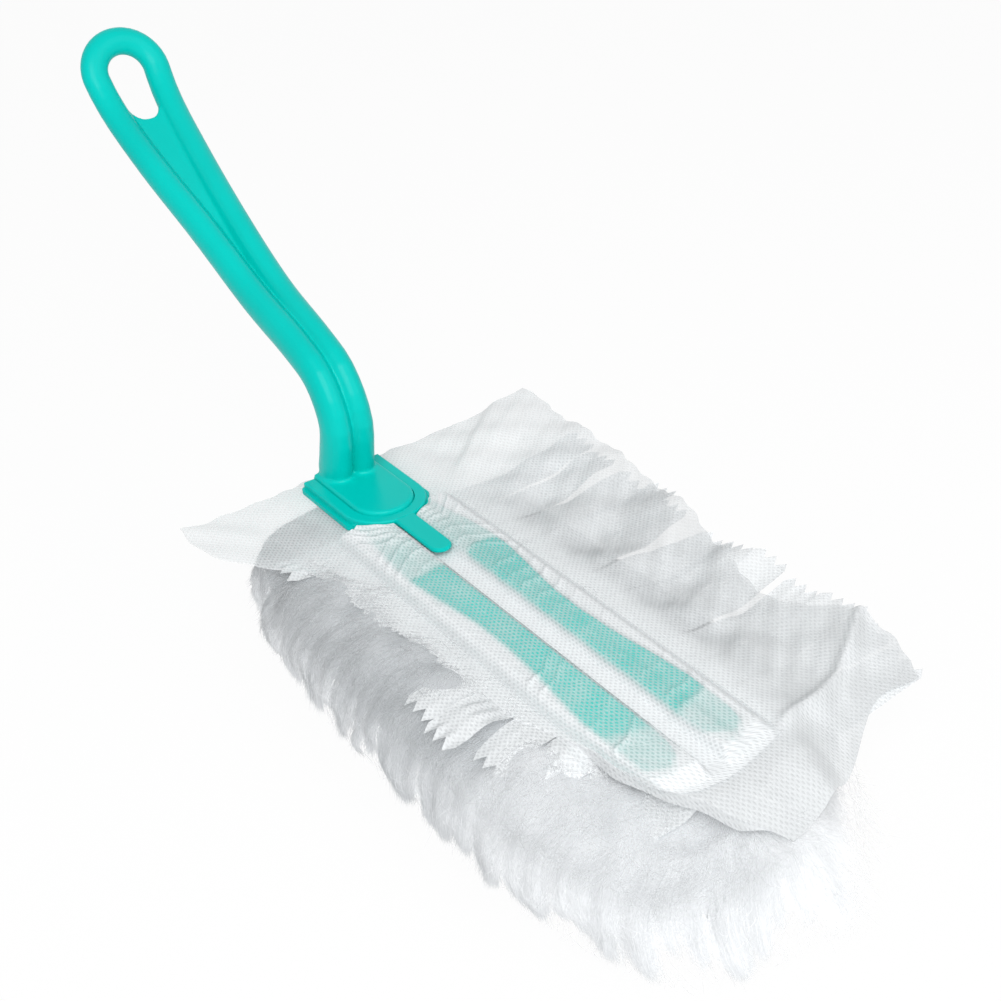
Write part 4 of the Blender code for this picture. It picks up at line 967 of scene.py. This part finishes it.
def make_tow_tufts(piece, material):
    """Strands over one stretch of the rim: rings of tufts, each with a rounded ragged end and a rounded body, then
    flat fuzz laid every way over the top, then a few long loose hairs. A strand runs out from its root; across a
    tuft its place c goes from -1 to 1, and its reach falls off as the power 1.4 of c."""
    local = np.random.default_rng(100 + piece)
    length = tow_rim([0.0])[3]
    t = np.linspace(0.0, 1.0, STRAND_STEPS)[None, :]
    parts = []
    for ring, (root, _, _, thick, flare, share) in enumerate(TUFT_RINGS):
        count = int(STRANDS_A_PIECE * share)
        around = (piece + local.random(count)) / TOW_PIECES
        c, width, end, reach, lean = tuft_ends(ring, around)
        end = end - local.gamma(1.5, 0.0014, count) + 0.0014
        start = root + local.normal(0.0, 0.004, count)
        forward = start[:, None] + (end - start)[:, None] * t
        sideways = (lean - 0.18 * c * width * length)[:, None] * t ** 2
        sideways = sideways + local.normal(0.0, 0.0007, (count, 1)) * np.sin(t * math.pi)
        sideways = sideways + local.normal(0.0, 0.0012, (count, 1)) * t ** 1.5
        depth = local.random(count)
        body = thick * (1 - 0.8 * c ** 2)[:, None] * np.sin(math.pi * t ** 0.75)
        off = depth[:, None] * (body + flare * (0.4 + reach)[:, None] * t ** 2.5)
        off = off + local.gamma(1.2, 0.0006, (count, 1)) * t ** 3
        parts.append((around, forward, sideways, off, 0.7 * c * (1 - c ** 2), 0.06))
    fuzz = int(STRANDS_A_PIECE * FUZZ_SHARE)
    around = (piece + local.random(fuzz)) / TOW_PIECES
    limit = tuft_ends(0, around)[2][:, None] - 0.0015
    forward = local.uniform(-0.045, 0.016, (fuzz, 1))
    swirl = 0.9 * waves(around, (0.11, 0.047), 41) + 0.8 * waves(forward[:, 0], (0.034, 0.019), 42)
    heading = (swirl + local.normal(0.0, 0.8, fuzz))[:, None] + local.normal(0.0, 0.9, (fuzz, 1)) * t
    long = local.uniform(0.005, 0.012, (fuzz, 1)) * (1 - 0.4 * smooth(forward, 0.0, 0.012))
    parts.append((around, np.minimum(forward + long * t * np.cos(heading), limit), long * t * np.sin(heading),
                  local.gamma(2.0, 0.00032, (fuzz, 1)) * (0.4 + np.sin(t * math.pi)), np.zeros(fuzz), 0.08))
    hair = int(STRANDS_A_PIECE * ALL_SHARES) - sum(len(part[0]) for part in parts)
    around = (piece + local.random(hair)) / TOW_PIECES
    forward = local.uniform(0.004, 0.024, (hair, 1)) + local.uniform(0.006, 0.014, (hair, 1)) * t
    forward = np.minimum(forward, 0.031)
    bend = local.normal(0.0, 0.0025, (hair, 1)) * t + local.normal(0.0, 0.0016, (hair, 1)) * np.sin(t * math.pi)
    parts.append((around, forward, bend, local.gamma(2.0, 0.0007, (hair, 1)) * t ** 1.5, np.zeros(hair), 0.2))
    around, forward, sideways, off, turn = (np.concatenate([part[k] for part in parts]) for k in range(5))
    spread = np.concatenate([np.full(len(part[0]), part[5]) for part in parts])
    count = len(around)
    place = np.arange(count)
    hollow = (np.where(place < count - hair, CORNER_HOLLOW, 0.008) * local.uniform(0.6, 1.1, count))[:, None]
    lines, normals, tangents = tow_surface(around[:, None] + sideways / length, forward, off + 0.0001, SIDE_OUT,
                                           hollow)
    splay = smooth(forward, 0.006, 0.03)
    lines[..., 0] += 0.008 * smooth(lines[..., 0], 0.086, 0.112) * splay
    lines[..., 0] -= 0.005 * smooth(-lines[..., 0], 0.09, 0.115) * splay * (lines[..., 1] < 0)
    side = smooth(lines[:, :1, 0], 0.08, 0.1) * smooth(lines[:, :1, 1], -0.01, 0.01)
    lines[..., 0] += side * local.normal(0.003, 0.0022, (count, 1)) * t ** 2
    lines[..., 1] += side * local.normal(0.003, 0.0028, (count, 1)) * t ** 2
    lines[..., 2] = np.maximum(lines[..., 2], 0.0004)
    normals = normals + turn[:, None, None] * tangents
    normals[..., 2] += upward_lean(forward)
    normals = normals + spread[:, None, None] * local.normal(0.0, 1.0, (count, 1, 3))
    radius = STRAND_RADIUS * local.uniform(0.7, 1.25, count)
    front = smooth(lines[:, 0, 0], *TOW_FRONT)
    low = smooth(forward[:, 0], -0.004, 0.01)
    # Tone of each strand: a random part, plus painted light, brighter on the hanging skirt and at the front and rear
    # end, greyer in the middle.
    shade = local.normal(0.19, 0.08, count) + (0.72 - 0.22 * front) * low
    shade = shade + painted_tow_light(lines[:, 0, 0], 0.25, 0.18)
    veil = np.where(place < count - hair - fuzz, 1 - 0.1 * front, 0.4 + 0.6 * low)
    veil = np.where(place < count - hair, veil * (1 - 0.3 * side[:, 0]), 0.45)
    # Painted light brightens the strands of the right front side, and painted shade darkens the tips of the front
    # skirt.
    shade = np.where(place < count - hair, shade, 0.9) + 0.5 * side[:, 0]
    shade = np.clip(shade[:, None] - 0.72 * (front * low)[:, None] * t ** 3, 0.0, 1.0)
    veil = veil[:, None] * (1 - 0.05 * t ** 2)
    return strand_mesh(f"tow_tufts_{piece + 1}", lines, normals, radius, shade, veil, material)


def main():
    """Build the stage, then dress the frame from the plastic out to the tow."""
    right, up, back = add_camera()
    add_stage(right, up, back)

    teal = plastic_material("teal_plastic", TEAL, 0.3)
    handle = moulded_copy("handle", "handle_moulding")
    handle.data.materials.append(teal)
    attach(handle, "handle")
    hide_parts("handle")

    fork_teal = plastic_material("fork_plastic", TEAL, 0.34)
    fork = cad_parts["fork"]
    for place in fork.material_slots:
        place.material = fork_teal

    pocket = make_pocket_cloth(cloth_material("pocket_cloth", 0.74, 0.34))
    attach(pocket, "refill")
    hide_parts("holding_sheet")

    base = make_base_cloth(cloth_material("base_cloth", 0.88, 0.24))
    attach(base, "refill")
    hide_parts("base_sheet")

    strips = make_strip_cloth(cloth_material("strip_cloth", 0.84, 0.3))
    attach(strips, "refill")
    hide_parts("strip_sheet")

    body = make_tow_body(tow_mass_material("tow_mass"))
    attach(body, "refill")
    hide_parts("fibre_layer_1", "fibre_layer_2", "fibre_layer_3", "fibre_layer_4")
    tow = tow_strand_material("tow_strands")
    for piece in range(TOW_PIECES):
        tufts = make_tow_tufts(piece, tow)
        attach(tufts, "refill")
        tufts.visible_shadow = False

    bpy.context.scene.view_settings.view_transform = "Standard"
    bpy.context.view_layer.update()


main()
